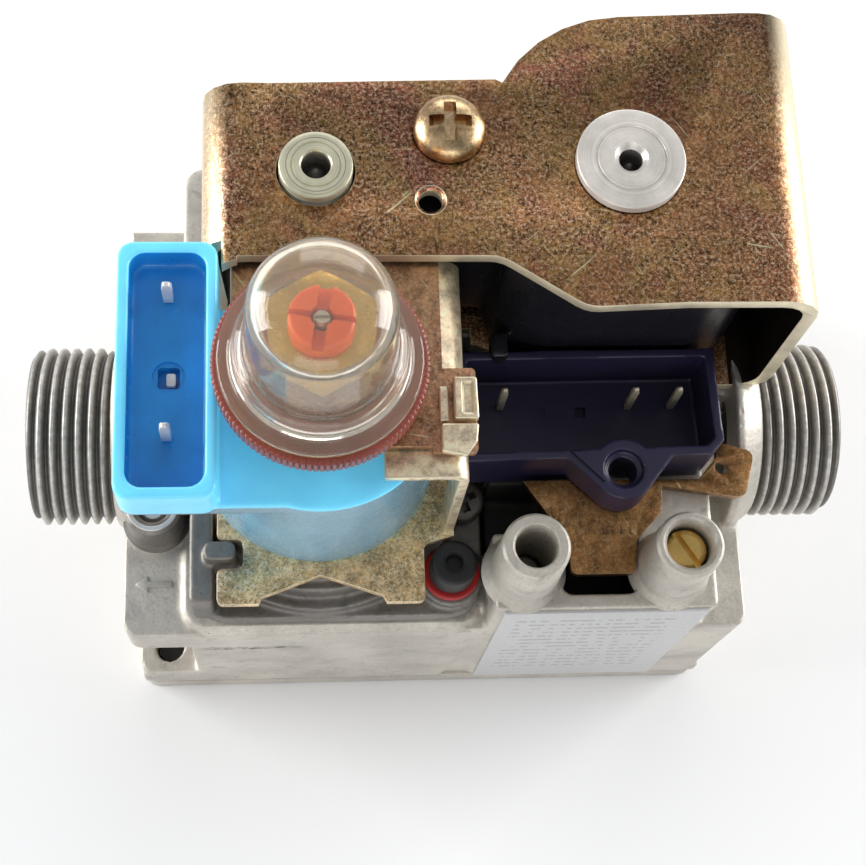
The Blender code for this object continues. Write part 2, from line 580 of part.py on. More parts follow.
def earth_plate():
    outline = rounded(mm(
        (11.0, -12.7, 0), (14.8, -18.5, 3), (17.1, -20.5, 2), (17.1, -26.4, 1), (26.2, -26.4, 1),
        (26.6, -21.6, 2), (30.6, -17.5, 3), (30.9, -13.6, 0), (41.6, -15.4, 0), (43.0, -15.2, 1.2),
        (44.8, -8.7, 1.2), (40.2, -7.4, 0), (39.2, -7.6, 0), (39.2, -9.4, 0), (37.2, -11.7, 0),
        (36.3, -12.7, 0)))
    plate = prism("earth_plate", outline, PEDESTAL_TOP + GAP, PEDESTAL_TOP + GAP + THIN_SHEET)
    hole = rod("spade_hole", (39.8 * MM, -11.0 * MM), 50 * MM, 60 * MM, MM, sides=16)
    finish(cut(plate, hole), YELLOW_ZINC)


def modulator_yoke():
    """Lower half of the regulator coil's yoke: slotted base, front leg and the tab on top of it."""
    base_top = REG_BASE + THIN_SHEET
    outline = rounded(mm(
        (-36.4, 8.2, 1), (-36.4, -13.6, 1), (-32.2, -14.6, 0), (-32.2, -20.2, 0.8), (-28.6, -20.2, 0.8),
        (-28.6, -24.3, 0.8), (-32.2, -24.3, 0.8), (-32.2, -29.4, 0.8),
        (-26.5, -29.4, 0), (-26.0, -28.4, 0), (-17.8, -25.4, 0.8), (-9.2, -28.4, 0),
        (-8.6, -29.4, 0), (-3.3, -29.4, 0.8), (-3.3, -21.2, 1), (1.0, -20.0, 0), (1.0, 8.2, 0)))
    yoke = prism("modulator_yoke", outline, REG_BASE, base_top)
    tab_low = COIL_TOP + GAP
    tab_outline = mm((-10, -17.3), (0.8, -19.4), (0.8, -14.6), (-10, -14.6))
    tab = prism("yoke_tab", tab_outline, tab_low, tab_low + THIN_SHEET)
    leg_top = tab_low + THIN_SHEET - 0.1 * MM
    leg = box("yoke_leg", (-0.5 * MM, -19.8 * MM, REG_BASE + 0.2 * MM), (0.9 * MM, -15.2 * MM, leg_top))
    side = box("yoke_side", (-36.2 * MM, -12 * MM, REG_BASE + 0.2 * MM), (-34.9 * MM, 2 * MM, 72 * MM))
    join(yoke, leg, side, tab)
    finish(cut(yoke, rod("yoke_stem_hole", REG, 50 * MM, 55 * MM, 5 * MM)), YELLOW_ZINC)


def modulator_top_plate():
    low = COIL_TOP + 2 * GAP + THIN_SHEET
    high = low + THIN_SHEET
    plate = box("modulator_top_plate", (-29.2 * MM, -16 * MM, low), (0.6 * MM, 10.4 * MM, high), MM)
    wall = box("plate_wall", (-0.9 * MM, -6 * MM, REG_BASE + THIN_SHEET + GAP), (0.6 * MM, 9.4 * MM, high))
    clip = box("plate_clip", (-3.1 * MM, -17.8 * MM, low), (1.9 * MM, -7.3 * MM, high + 1.7 * MM), 0.8 * MM)
    join(plate, wall, clip)
    finish(cut(plate, rod("plate_ring_hole", REG, 70 * MM, 90 * MM, 7.6 * MM, sides=32)), YELLOW_ZINC)


def modulator_coil():
    foot = REG_BASE + THIN_SHEET + GAP
    coil = rod("modulator_coil", REG, foot, COIL_TOP, COIL_R + 0.5 * MM, COIL_R, sides=48)
    web = box("coil_web", (-33 * MM, -22.4 * MM, 75 * MM), (-20 * MM, 4 * MM, COIL_TOP))
    shell = box("blue_shell", BLUE_LOW, BLUE_HIGH, 1.6 * MM)
    wall = 1.4 * MM
    join(coil, web, shell)
    inner_low = (BLUE_LOW[0] + wall, BLUE_LOW[1] + wall, 80.4 * MM)
    inner_high = (BLUE_HIGH[0] - wall, BLUE_HIGH[1] - wall, BLUE_TOP + MM)
    cut(coil, box("blue_hollow", inner_low, inner_high, 1.2 * MM))
    cut(coil, rod("blue_bore", REG, 50 * MM, 80 * MM, 7.5 * MM, sides=32))
    finish(coil, BLUE_PLASTIC)
    for i, y in enumerate((4.4 * MM, -14.3 * MM)):
        centre = Vector((-37.2 * MM, y, 0.0))
        half = Vector((0.65 * MM, 0.65 * MM, 0.0))
        low, high = centre - half, centre + half
        low.z, high.z = 80.7 * MM, 85.9 * MM
        finish(box("modulator_pin_%d" % (i + 1), low, high), STEEL)


def modulator_inside():
    low, top = REG_BASE + THIN_SHEET + GAP, 92 * MM
    tube = turned("modulator_tube", REG, [
        (7.2 * MM, top), (7.2 * MM, low), (6.5 * MM, low), (6.5 * MM, top)], closed=True)
    finish(tube, BRASS)
    plunger = turned("modulator_plunger", REG, [
        (0.0, 74 * MM), (6.1 * MM, 74 * MM), (6.1 * MM, 60 * MM), (1.4 * MM, 60 * MM), (1.4 * MM, 47.8 * MM),
        (4.6 * MM, 47.8 * MM), (4.6 * MM, 46.6 * MM), (0.0, 46.6 * MM)])
    finish(plunger, STEEL)
    spring("modulator_spring", REG, 74.3 * MM, 88.7 * MM, 4.4 * MM, 0.4 * MM, 5)


def knurled_ring():
    """Ridged collar that the clear cap snaps on to."""
    ridges = 36
    outer, root = 13.6 * MM, 13.15 * MM
    outline = []
    for i in range(2 * ridges):
        angle = math.pi * i / ridges
        radius = outer if i % 2 else root
        outline.append((REG[0] + radius * math.cos(angle), REG[1] + radius * math.sin(angle)))
    ring = prism("knurled_ring", outline, RING_LOW, RING_TOP)
    join(ring, rod("ring_skirt", REG, 81.9 * MM, RING_LOW + MM, 11 * MM, sides=32))
    finish(cut(ring, rod("ring_bore", REG, 80 * MM, 90 * MM, 7.6 * MM, sides=32)), RED_PLASTIC)


def adjusters():
    """Hexagonal maximum-pressure nut, cross-slotted minimum-pressure knob and its centre screw."""
    nut = rod("max_adjust_nut", REG, 92.3 * MM, 98.3 * MM, 7.1 * MM, sides=6)
    join(nut, rod("nut_skirt", REG, 89 * MM, 93 * MM, 6.1 * MM))
    finish(cut(nut, rod("nut_bore", REG, 88 * MM, 99 * MM, 2.4 * MM, sides=20)), BRASS)
    top = 102.3 * MM
    knob = turned("min_adjust_knob", REG, [
        (1.3 * MM, top), (3.6 * MM, top), (4.0 * MM, top - 0.5 * MM), (4.0 * MM, 98.6 * MM),
        (2.0 * MM, 98.6 * MM), (2.0 * MM, 92 * MM), (1.3 * MM, 92 * MM)], closed=True)
    for name, angle in (("knob_slot", 82), ("knob_cross", 172)):
        slot = box(name, (-5 * MM, -0.55 * MM, -1.3 * MM), (5 * MM, 0.55 * MM, 1.3 * MM))
        slot.location = (*REG, top)
        slot.rotation_euler.z = math.radians(angle)
        cut(knob, slot)
    finish(knob, ORANGE_PLASTIC)
    slotted("centre_screw", REG, top - 0.4 * MM, MM, 1.5 * MM, 0.8 * MM, 8 * MM, STEEL)


def clear_cap():
    low = RING_TOP + GAP
    cap = turned("clear_cap", REG, [
        (0.0, CAP_TOP), (4.0 * MM, CAP_TOP - 0.5 * MM), (7.0 * MM, CAP_TOP - 2 * MM),
        (8.7 * MM, CAP_TOP - 5 * MM), (9.6 * MM, low + 5 * MM), (10.6 * MM, low + 4.5 * MM),
        (11.0 * MM, low + 1.6 * MM), (12.3 * MM, low + 1.4 * MM), (12.3 * MM, low),
        (10.1 * MM, low), (9.8 * MM, low + 3.6 * MM), (8.9 * MM, low + 4.2 * MM),
        (8.0 * MM, CAP_TOP - 5.6 * MM), (6.3 * MM, CAP_TOP - 2.7 * MM), (3.6 * MM, CAP_TOP - 1.4 * MM),
        (0.0, CAP_TOP - 0.9 * MM)], sides=32)
    finish(cap, CLEAR)


clear_scene()
PARTS = collection("gas_valve")
CUTTERS = collection("cutters")
valve_body()
rear_cover()
inlet_filter()
test_screws()
label_plate()
regulator_cover()
regulator_inside()
breather_plug()
coil_block()
ev_bracket()
operator("ev1", EV1)
operator("ev2", EV2)
coil_connector()
earth_plate()
modulator_yoke()
modulator_top_plate()
modulator_coil()
modulator_inside()
knurled_ring()
adjusters()
clear_cap()
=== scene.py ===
import json
import math

import bmesh
import bpy
from mathutils import Matrix, Vector


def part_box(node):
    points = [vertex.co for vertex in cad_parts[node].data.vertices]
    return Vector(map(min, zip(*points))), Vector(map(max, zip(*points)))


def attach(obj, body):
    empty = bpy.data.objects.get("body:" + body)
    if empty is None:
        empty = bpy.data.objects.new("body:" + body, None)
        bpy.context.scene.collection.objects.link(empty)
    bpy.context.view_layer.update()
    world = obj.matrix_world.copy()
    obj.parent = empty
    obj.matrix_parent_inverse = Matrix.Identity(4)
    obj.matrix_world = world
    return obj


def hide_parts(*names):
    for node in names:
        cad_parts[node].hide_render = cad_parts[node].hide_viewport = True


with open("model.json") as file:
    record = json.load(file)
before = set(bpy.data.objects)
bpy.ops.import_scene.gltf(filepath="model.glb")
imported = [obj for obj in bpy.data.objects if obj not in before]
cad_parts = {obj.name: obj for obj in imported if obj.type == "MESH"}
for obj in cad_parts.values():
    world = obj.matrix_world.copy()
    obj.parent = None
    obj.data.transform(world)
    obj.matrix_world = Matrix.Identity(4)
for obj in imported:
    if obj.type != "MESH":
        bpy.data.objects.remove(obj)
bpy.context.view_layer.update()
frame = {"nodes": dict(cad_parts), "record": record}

MM = 0.001


# ---------------- the frame, in millimetres

def span(node):
    """Lowest and highest corner of a CAD node, in millimetres."""
    return [Vector(corner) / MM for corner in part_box(node)]


def middle(node):
    low, high = span(node)
    return (low + high) / 2


AXIS_Z = middle("inlet_filter").z
END_X = span("valve_body")[1].x
REG = middle("modulator_tube").xy
EV1 = middle("ev1_core").xy
EV2 = middle("ev2_core").xy

# The pipe thread: outer and root radius, pitch, where it starts from the middle, and the bore in it.
THREAD_R = 13.22
THREAD_ROOT = 12.06
PITCH = 1.814
NECK_X = 47.3
PORT_R = 9.2


# ---------------- camera, lights and floor

CAMERA_AT = Vector((-21.3, -81.4, 283.7)) * MM
CAMERA_AZIMUTH = -14.53
CAMERA_ELEVATION = 71.05
CAMERA_ROLL = 13.22
CAMERA_LENS = 70.5
WORLD_COLOUR = (0.97, 0.98, 1.0, 1.0)
WORLD_STRENGTH = 0.42
LIGHT_TARGET = Vector((0.0, 0.0, 0.05))
FLOOR_Z = -0.0002
# Each soft light: place, size and power.
LIGHTS = {
    "left_soft": ((-0.60, 0.12, 0.20), (0.42, 0.40), 4.6),
    "right_soft": ((0.60, 0.14, 0.20), (0.42, 0.40), 4.2),
    "front_soft": ((-0.10, -0.62, 0.30), (0.6, 0.30), 1.2),
    "back_soft": ((0.1, 0.62, 0.34), (0.6, 0.30), 1.4),
}


def make_camera():
    azimuth, elevation = math.radians(CAMERA_AZIMUTH), math.radians(CAMERA_ELEVATION)
    back = Vector((math.sin(azimuth) * math.cos(elevation), -math.cos(azimuth) * math.cos(elevation),
                   math.sin(elevation)))
    right = Vector((math.cos(azimuth), math.sin(azimuth), 0.0))
    upright = Matrix((right, back.cross(right), back)).transposed()
    turn = upright @ Matrix.Rotation(math.radians(CAMERA_ROLL), 3, "Z")
    camera = bpy.data.objects.new("camera", bpy.data.cameras.new("camera"))
    camera.data.lens = CAMERA_LENS
    camera.data.clip_start = 0.01
    camera.matrix_world = Matrix.Translation(CAMERA_AT) @ turn.to_4x4()
    bpy.context.scene.collection.objects.link(camera)
    bpy.context.scene.camera = camera


def area_light(name, at, size, power):
    light = bpy.data.objects.new(name, bpy.data.lights.new(name, "AREA"))
    light.data.shape = "RECTANGLE"
    light.data.size, light.data.size_y = size
    light.data.energy = power
    light.location = at
    light.rotation_euler = (LIGHT_TARGET - Vector(at)).to_track_quat("-Z", "Y").to_euler()
    bpy.context.scene.collection.objects.link(light)


def make_stage():
    """Even light from a pale world and four soft lights, over a white floor."""
    scene = bpy.context.scene
    world = bpy.data.worlds.new("world")
    world.use_nodes = True
    background = world.node_tree.nodes["Background"]
    background.inputs["Color"].default_value = WORLD_COLOUR
    background.inputs["Strength"].default_value = WORLD_STRENGTH
    scene.world = world
    scene.view_settings.view_transform = "Standard"
    for name, (at, size, power) in LIGHTS.items():
        area_light(name, at, size, power)
    bm = bmesh.new()
    bmesh.ops.create_grid(bm, x_segments=1, y_segments=1, size=3.0)
    mesh = bpy.data.meshes.new("floor")
    bm.to_mesh(mesh)
    bm.free()
    floor = bpy.data.objects.new("floor", mesh)
    floor.location.z = FLOOR_Z
    scene.collection.objects.link(floor)
    surface = Surface("floor_white")
    surface.set(base=(0.92, 0.92, 0.92), roughness=0.7, specular=0.2)
    floor.data.materials.append(surface.material)


# ---------------- materials

class Surface:
    """A procedural material. Textures read object coordinates in millimetres."""

    def __init__(self, name):
        self.material = bpy.data.materials.new(name)
        self.material.use_nodes = True
        self.tree = self.material.node_tree
        self.shader = self.tree.nodes["Principled BSDF"]

    def node(self, kind, **values):
        made = self.tree.nodes.new(kind)
        for key, value in values.items():
            setattr(made, key, value)
        return made

    def feed(self, socket, value):
        """Link a node's output into a socket, or set the socket to a plain value."""
        if isinstance(value, bpy.types.NodeSocket):
            self.tree.links.new(value, socket)
        elif isinstance(value, tuple) and len(value) == 3 and socket.type == "RGBA":
            socket.default_value = (*value, 1.0)
        else:
            socket.default_value = value

    def fill(self, node, **values):
        """Feed several inputs of a node, each by its name."""
        for name, value in values.items():
            self.feed(node.inputs[name.replace("_", " ")], value)
        return node

    def set(self, base=None, roughness=None, metallic=None, specular=None, normal=None, **others):
        values = dict(Base_Color=base, Roughness=roughness, Metallic=metallic,
                      Specular_IOR_Level=specular, Normal=normal, **others)
        self.fill(self.shader, **{name: value for name, value in values.items() if value is not None})

    def where(self, stretch=(1.0, 1.0, 1.0), turn=0.0):
        """Object coordinates in millimetres, stretched, and turned on the plan by some degrees."""
        mapping = self.node("ShaderNodeMapping", vector_type="TEXTURE" if turn else "POINT")
        self.feed(mapping.inputs["Vector"], self.node("ShaderNodeTexCoord").outputs["Object"])
        mapping.inputs["Scale"].default_value = [MM / s if turn else s / MM for s in stretch]
        mapping.inputs["Rotation"].default_value = (0.0, 0.0, math.radians(turn))
        return mapping.outputs["Vector"]

    def along(self, axis):
        """One coordinate, in millimetres."""
        made = self.node("ShaderNodeSeparateXYZ")
        self.feed(made.inputs[0], self.where())
        return made.outputs["XYZ".index(axis)]

    def noise(self, scale, detail=3.0, rough=0.55, stretch=(1.0, 1.0, 1.0), distortion=0.0, turn=0.0):
        """Noise from 0 to 1, with scale in cycles per millimetre."""
        made = self.fill(self.node("ShaderNodeTexNoise"), Vector=self.where(stretch, turn), Scale=scale,
                         Detail=detail, Roughness=rough, Distortion=distortion)
        return made.outputs["Fac"]

    def cells(self, scale, warp):
        """Distance to the nearest of many scattered points, with the space between them bent by noise."""
        place = self.where()
        bent = self.fill(self.node("ShaderNodeTexNoise"), Vector=place, Scale=scale * 1.5)
        shift = self.fill(self.node("ShaderNodeVectorMath", operation="SCALE"),
                          Vector=bent.outputs["Color"], Scale=warp)
        added = self.node("ShaderNodeVectorMath", operation="ADD")
        self.feed(added.inputs[0], place)
        self.feed(added.inputs[1], shift.outputs[0])
        made = self.fill(self.node("ShaderNodeTexVoronoi"), Vector=added.outputs[0], Scale=scale)
        return made.outputs["Distance"]

    def rings(self, centre, scale):
        """Uneven rings round an upright axis, from 0 to 1."""
        made = self.node("ShaderNodeTexNoise", noise_dimensions="1D")
        across = [self.math("SUBTRACT", self.along(axis), at) for axis, at in zip("XY", centre)]
        squares = [self.math("MULTIPLY", side, side) for side in across]
        self.feed(made.inputs["W"], self.math("SQRT", self.math("ADD", *squares)))
        return self.fill(made, Scale=scale, Detail=4.0).outputs["Fac"]

    def ramp(self, value, *stops):
        """Colour ramp from stops given as (position, colour or grey)."""
        made = self.node("ShaderNodeValToRGB")
        self.feed(made.inputs["Fac"], value)
        elements = made.color_ramp.elements
        while len(elements) < len(stops):
            elements.new(0.5)
        for element, (position, colour) in zip(elements, stops):
            element.position = position
            colour = (colour,) * 3 if isinstance(colour, float) else colour
            element.color = (*colour, 1.0)
        return made.outputs["Color"]

    def mix(self, amount, first, second, blend="MIX"):
        made = self.node("ShaderNodeMix", data_type="RGBA", blend_type=blend)
        self.feed(made.inputs[0], amount)
        self.feed(made.inputs[6], first)
        self.feed(made.inputs[7], second)
        return made.outputs[2]

    def math(self, operation, first, second=0.0):
        made = self.node("ShaderNodeMath", operation=operation)
        self.feed(made.inputs[0], first)
        self.feed(made.inputs[1], second)
        return made.outputs[0]

    def range(self, value, low, high, start=0.0, end=1.0):
        """A value from start to end becomes one from low to high."""
        made = self.fill(self.node("ShaderNodeMapRange"), Value=value, From_Min=start, From_Max=end,
                         To_Min=low, To_Max=high)
        return made.outputs["Result"]

    def band(self, axis, low, high, soft=0.5):
        """1 between two places along an axis, falling to 0 outside them."""
        place = self.along(axis)
        rise = self.range(place, 0.0, 1.0, low - soft, low + soft)
        fall = self.range(place, 1.0, 0.0, high - soft, high + soft)
        return self.math("MULTIPLY", rise, fall)

    def bump(self, height, depth, before=None):
        """Bump with its depth in millimetres."""
        made = self.fill(self.node("ShaderNodeBump"), Strength=1.0, Distance=depth * MM, Height=height)
        if before is not None:
            self.feed(made.inputs["Normal"], before)
        return made.outputs["Normal"]


def scaled(colour, factor):
    return tuple(min(1.0, factor * c) for c in colour)


def cast_metal(name, tint=(0.64, 0.60, 0.53), seam=False, metallic=0.55):
    """Raw die-cast metal, grainy and stained. The seam is a ragged dark mark on the front wall."""
    s = Surface(name)
    patches = s.ramp(s.noise(0.09, 4.0), (0.33, scaled(tint, 0.78)), (0.66, scaled(tint, 1.15)))
    grain = s.noise(2.0, 4.0, 0.72)
    colour = s.mix(s.range(grain, 0.45, 0.0, 0.3, 0.7), patches, scaled(tint, 0.55))
    pits = s.ramp(s.cells(0.55, 0.6), (0.02, 0.25), (0.09, 1.0))
    colour = s.mix(0.8, colour, pits, "MULTIPLY")
    stain = s.ramp(s.noise(0.28, 5.0, 0.65, distortion=0.8), (0.56, 1.0), (0.72, 0.72))
    colour = s.mix(1.0, colour, stain, "MULTIPLY")
    height = s.math("ADD", grain, s.math("MULTIPLY", pits, 0.8))
    if seam:
        ragged = s.ramp(s.noise(0.9, 5.0, 0.8, (0.5, 1.0, 1.6)), (0.46, 0.0), (0.56, 1.0))
        line = s.math("MULTIPLY", s.band("Z", 29.2, 31.0, 0.5), s.band("X", -35.0, -21.0, 2.5))
        mark = s.math("MULTIPLY", s.math("MULTIPLY", ragged, line), s.band("Y", -32.0, -28.6, 0.3))
        colour = s.mix(mark, colour, (0.04, 0.036, 0.032))
    s.set(base=colour, metallic=metallic, roughness=s.range(s.noise(0.35), 0.40, 0.62),
          normal=s.bump(height, 0.05, s.bump(s.noise(0.45, 2.0), 0.16)))
    return s.material


def scratches(s):
    """Fine straight scratches in three directions, from 0 to 1."""
    total = None
    for turn, scale, start in ((35.0, 2.4, 0.70), (-50.0, 2.0, 0.71), (80.0, 1.6, 0.72)):
        streak = s.noise(scale, 2.0, 0.6, (1.0, 0.045, 0.3), 0.15, turn)
        line = s.ramp(streak, (start, 0.0), (start + 0.03, 1.0))
        total = line if total is None else s.math("MAXIMUM", total, line)
    return total


def yellow_zinc(name, patches, dark, light, contrast=0.8, rough=(0.22, 0.42), marks=0.7, metallic=1.0,
                plate=False):
    """Yellow chromate over zinc: coloured patches, a fine two-tone speckle and bright scratches.

    The bracket's plate also gets a painted highlight at its bends, is more speckled at its sides, and gets
    painted shade towards the back and its back right corner.
    """
    s = Surface(name)
    colour = s.ramp(s.noise(0.045, 4.0, 0.6, distortion=0.9), *patches)
    area = s.math("MULTIPLY", s.ramp(s.noise(0.06, 3.0, 0.6), (0.38, 0.60), (0.62, 1.0)), contrast)
    colour = s.mix(1.0, colour, s.ramp(s.noise(0.45, 4.0, 0.7), (0.36, 0.50), (0.62, 1.25)), "MULTIPLY")
    if plate:
        low, high = span("ev_bracket")
        x, y = s.along("X"), s.along("Y")
        # Painted highlight: the plate turns pale cream and less metallic along both bends.
        left_bend = s.range(x, 0.4, 0.0, low.x + 1.2, low.x + 4.8)
        right_bend = s.range(x, 0.0, 0.6, high.x - 4.4, high.x - 1.2)
        bend = s.math("MAXIMUM", left_bend, right_bend)
        # Painted shade: darker towards the back and at the back right corner.
        back = s.range(y, 1.0, 0.40, 18.0, 42.0)
        corner = s.math("MULTIPLY", s.range(y, 0.0, 1.0, 28.0, 44.0), s.range(x, 0.0, 1.0, 20.0, 44.0))
        dim = s.math("MULTIPLY", back, s.range(corner, 1.0, 0.45))
        left_side = s.range(x, 1.0, 0.0, -30.0, -18.0)
        right_side = s.range(x, 0.0, 1.0, 34.0, 46.0)
        area = s.math("MAXIMUM", area, s.math("MAXIMUM", left_side, right_side))
    grain = s.noise(2.3, 4.0, 0.85)
    fine = s.ramp(grain, (0.43, 0.0), (0.50, 1.0))
    colour = s.mix(s.math("MULTIPLY", s.math("SUBTRACT", 1.0, fine), area), colour, dark)
    bright = s.ramp(s.noise(2.0, 5.0, 0.9, (1.0, 0.9, 1.0)), (0.51, 0.0), (0.575, 1.0))
    colour = s.mix(s.math("MULTIPLY", bright, area), colour, light)
    broken = s.ramp(s.noise(0.16, 3.0, 0.6), (0.44, 0.0), (0.56, marks))
    colour = s.mix(s.math("MULTIPLY", scratches(s), broken), colour, scaled(light, 1.5))
    if plate:
        # Painted shade towards the back.
        colour = s.mix(1.0, colour, dim, "MULTIPLY")
        # Painted highlight at the bends.
        colour = s.mix(bend, colour, (0.95, 0.80, 0.52))
        metallic = s.math("SUBTRACT", metallic, bend)
    s.set(base=colour, metallic=metallic, roughness=s.range(s.noise(0.8, 5.0, 0.7), *rough),
          normal=s.bump(grain, 0.03, s.bump(s.noise(0.25), 0.05)))
    return s.material


# Colours of the patches in the yellow zinc, each with its place on the ramp.
DARK_PATCHES = ((0.28, (0.27, 0.120, 0.100)), (0.38, (0.38, 0.150, 0.075)), (0.47, (0.46, 0.215, 0.085)),
                (0.54, (0.44, 0.255, 0.085)), (0.63, (0.40, 0.145, 0.085)), (0.76, (0.31, 0.130, 0.115)))
PALE_PATCHES = ((0.30, (0.64, 0.43, 0.20)), (0.50, (0.86, 0.63, 0.32)), (0.70, (0.68, 0.46, 0.23)))
GOLD_PATCHES = ((0.32, (0.26, 0.115, 0.045)), (0.50, (0.40, 0.21, 0.075)), (0.68, (0.28, 0.12, 0.055)))
SCREW_PATCHES = ((0.32, (0.56, 0.36, 0.18)), (0.50, (0.74, 0.53, 0.29)), (0.68, (0.60, 0.41, 0.23)))
BROWN_PATCHES = ((0.30, (0.42, 0.21, 0.12)), (0.46, (0.62, 0.36, 0.18)), (0.58, (0.50, 0.25, 0.14)),
                 (0.72, (0.30, 0.15, 0.09)))
CREAM_PATCHES = ((0.32, (0.86, 0.68, 0.42)), (0.50, (1.0, 0.86, 0.60)), (0.68, (0.92, 0.70, 0.46)))


def turned_metal(name, tint, roughness=0.25, depth=0.01, metallic=1.0, centre=None):
    """Bright metal. With a centre on the plan, it shows the fine rings left by turning."""
    s = Surface(name)
    stain = s.ramp(s.noise(0.25, 4.0), (0.35, scaled(tint, 0.75)), (0.7, tint))
    if centre:
        rings = s.ramp(s.rings(centre, 3.0), (0.30, 0.80), (0.75, 1.0))
        stain = s.mix(1.0, stain, rings, "MULTIPLY")
    s.set(base=stain, metallic=metallic, roughness=s.range(s.noise(0.8), roughness * 0.8, roughness * 1.4),
          normal=s.bump(s.noise(4.0, 3.0, 0.6), depth))
    return s.material


def thread_metal(name):
    """Painted highlight on the crests and painted shade in the roots, from the distance to the thread's axis.
    """
    s = Surface(name)
    up = s.math("SUBTRACT", s.along("Z"), AXIS_Z)
    squares = s.math("ADD", s.math("MULTIPLY", s.along("Y"), s.along("Y")), s.math("MULTIPLY", up, up))
    height = s.range(s.math("SQRT", squares), 0.0, 1.0, THREAD_ROOT, THREAD_R)
    # Dark root colour is painted shade, bright crest colour is painted highlight.
    root, flank, crest = (0.15, 0.135, 0.12), (0.36, 0.345, 0.32), (0.66, 0.645, 0.61)
    colour = s.ramp(height, (0.05, root), (0.45, flank), (0.95, crest))
    stain = s.ramp(s.noise(0.5, 4.0, 0.6, (1.0, 2.0, 2.0)), (0.35, 0.72), (0.65, 1.0))
    s.set(base=s.mix(1.0, colour, stain, "MULTIPLY"), metallic=0.65,
          roughness=s.range(s.noise(0.8), 0.40, 0.55), normal=s.bump(s.noise(4.0, 3.0, 0.6), 0.02))
    return s.material


def plastic(name, tint, roughness=0.35, grain=0.02, glow=0.0, specular=0.5):
    """Moulded plastic with a little dust. Its glow is painted light: emission that brightens a strong colour.
    """
    s = Surface(name)
    shade = s.ramp(s.noise(0.12, 4.0), (0.3, scaled(tint, 0.85)), (0.7, scaled(tint, 1.1)))
    dust = s.ramp(s.noise(1.4, 5.0, 0.8), (0.74, 0.0), (0.82, 1.0))
    shade = s.mix(s.math("MULTIPLY", dust, 0.25), shade, scaled(tint, 2.0))
    height = s.noise(2.5, 4.0, 0.6)
    s.set(base=shade, roughness=s.range(s.noise(0.5, 4.0), roughness * 0.75, roughness * 1.35),
          normal=s.bump(height, grain, s.bump(s.noise(0.2), 0.05)), specular=specular)
    # Painted light: emission makes the plastic brighter than its lighting.
    if glow:
        s.set(Emission_Color=(*scaled(tint, 0.8), 1.0), Emission_Strength=glow)
    return s.material


def clear_plastic(name):
    s = Surface(name)
    haze = s.ramp(s.noise(0.3, 4.0), (0.35, (1.0, 0.93, 0.76)), (0.65, (1.0, 0.96, 0.86)))
    s.set(base=haze, roughness=0.06, Transmission_Weight=0.93, IOR=1.45,
          normal=s.bump(s.noise(0.25, 2.0), 0.03))
    return s.material


def paper(name):
    """Silvered label with rows of plain grey bars in place of print."""
    s = Surface(name)
    fibre = s.noise(1.5, 5.0, 0.7)
    sheet = s.ramp(fibre, (0.3, 0.53), (0.7, 0.62))
    rows = s.math("SINE", s.math("MULTIPLY", s.along("Z"), 2.0 * math.pi / 2.6))
    row = s.ramp(rows, (0.55, 0.0), (0.62, 1.0))
    words = s.ramp(s.noise(0.9, 1.0, 0.5, (1.0, 0.0, 0.12)), (0.47, 0.0), (0.50, 1.0))
    margin = s.math("MULTIPLY", s.band("X", 10.0, 33.0, 0.3), s.band("Z", 12.0, 49.5, 0.3))
    print_mask = s.math("MULTIPLY", s.math("MULTIPLY", row, words), margin)
    colour = s.mix(s.math("MULTIPLY", print_mask, 0.5), sheet, (0.20, 0.20, 0.20))
    s.set(base=colour, metallic=0.2, roughness=0.42, normal=s.bump(fibre, 0.012))
    return s.material


# Every look by its name: a material and the slot it stands for.
LOOKS = {}


def add_looks(slot_name, **materials):
    for look, material in materials.items():
        LOOKS[look] = (material, slot_name)


add_looks(
    "cast_body",
    cast=cast_metal("die_cast", seam=True),
    cast_dark=cast_metal("die_cast_dark", (0.25, 0.235, 0.215), metallic=0.8),
    pocket=plastic("pocket_shade", (0.012, 0.011, 0.010), 0.6),
    thread=thread_metal("thread_metal"))
add_looks(
    "yellow_steel",
    zinc=yellow_zinc("yellow_zinc", DARK_PATCHES, (0.030, 0.015, 0.013), (0.94, 0.66, 0.42), 1.0,
                     plate=True),
    zinc_brown=yellow_zinc("yellow_zinc_brown", BROWN_PATCHES, (0.07, 0.035, 0.025), (0.90, 0.66, 0.44), 0.5,
                           metallic=0.8),
    zinc_pale=yellow_zinc("yellow_zinc_pale", PALE_PATCHES, (0.18, 0.13, 0.06), (1.0, 0.90, 0.66), 0.9,
                          (0.3, 0.5), metallic=0.8),
    zinc_gold=yellow_zinc("yellow_zinc_gold", GOLD_PATCHES, (0.10, 0.045, 0.02), (0.80, 0.58, 0.32), 0.4),
    screw_gold=yellow_zinc("yellow_zinc_screw", SCREW_PATCHES, (0.30, 0.17, 0.07), (0.95, 0.75, 0.50), 0.25,
                           (0.20, 0.30)),
    # Next: a darker copy of the gold zinc, used only as painted shade in the gold screw's cross recess.
    zinc_dark=yellow_zinc("yellow_zinc_dark", GOLD_PATCHES, (0.06, 0.03, 0.015), (0.80, 0.62, 0.40), 0.4),
    # Next: cream zinc; on the modulator leg and on the top plate's bent right side it is a painted highlight.
    zinc_cream=yellow_zinc("yellow_zinc_cream", CREAM_PATCHES, (0.50, 0.30, 0.15), (1.0, 0.96, 0.84), 0.4,
                           metallic=0.6),
    # Next: pale metal, the contact pins' own colour, and a painted highlight on the cut and rounded edges of
    # zinc parts.
    zinc_edge=turned_metal("yellow_zinc_edge", (0.92, 0.82, 0.60), 0.35, metallic=0.55),
    # Next: near-black, as painted shade on the bracket faces that look inwards.
    zinc_inside=turned_metal("yellow_zinc_inside", (0.030, 0.024, 0.018), 0.5))
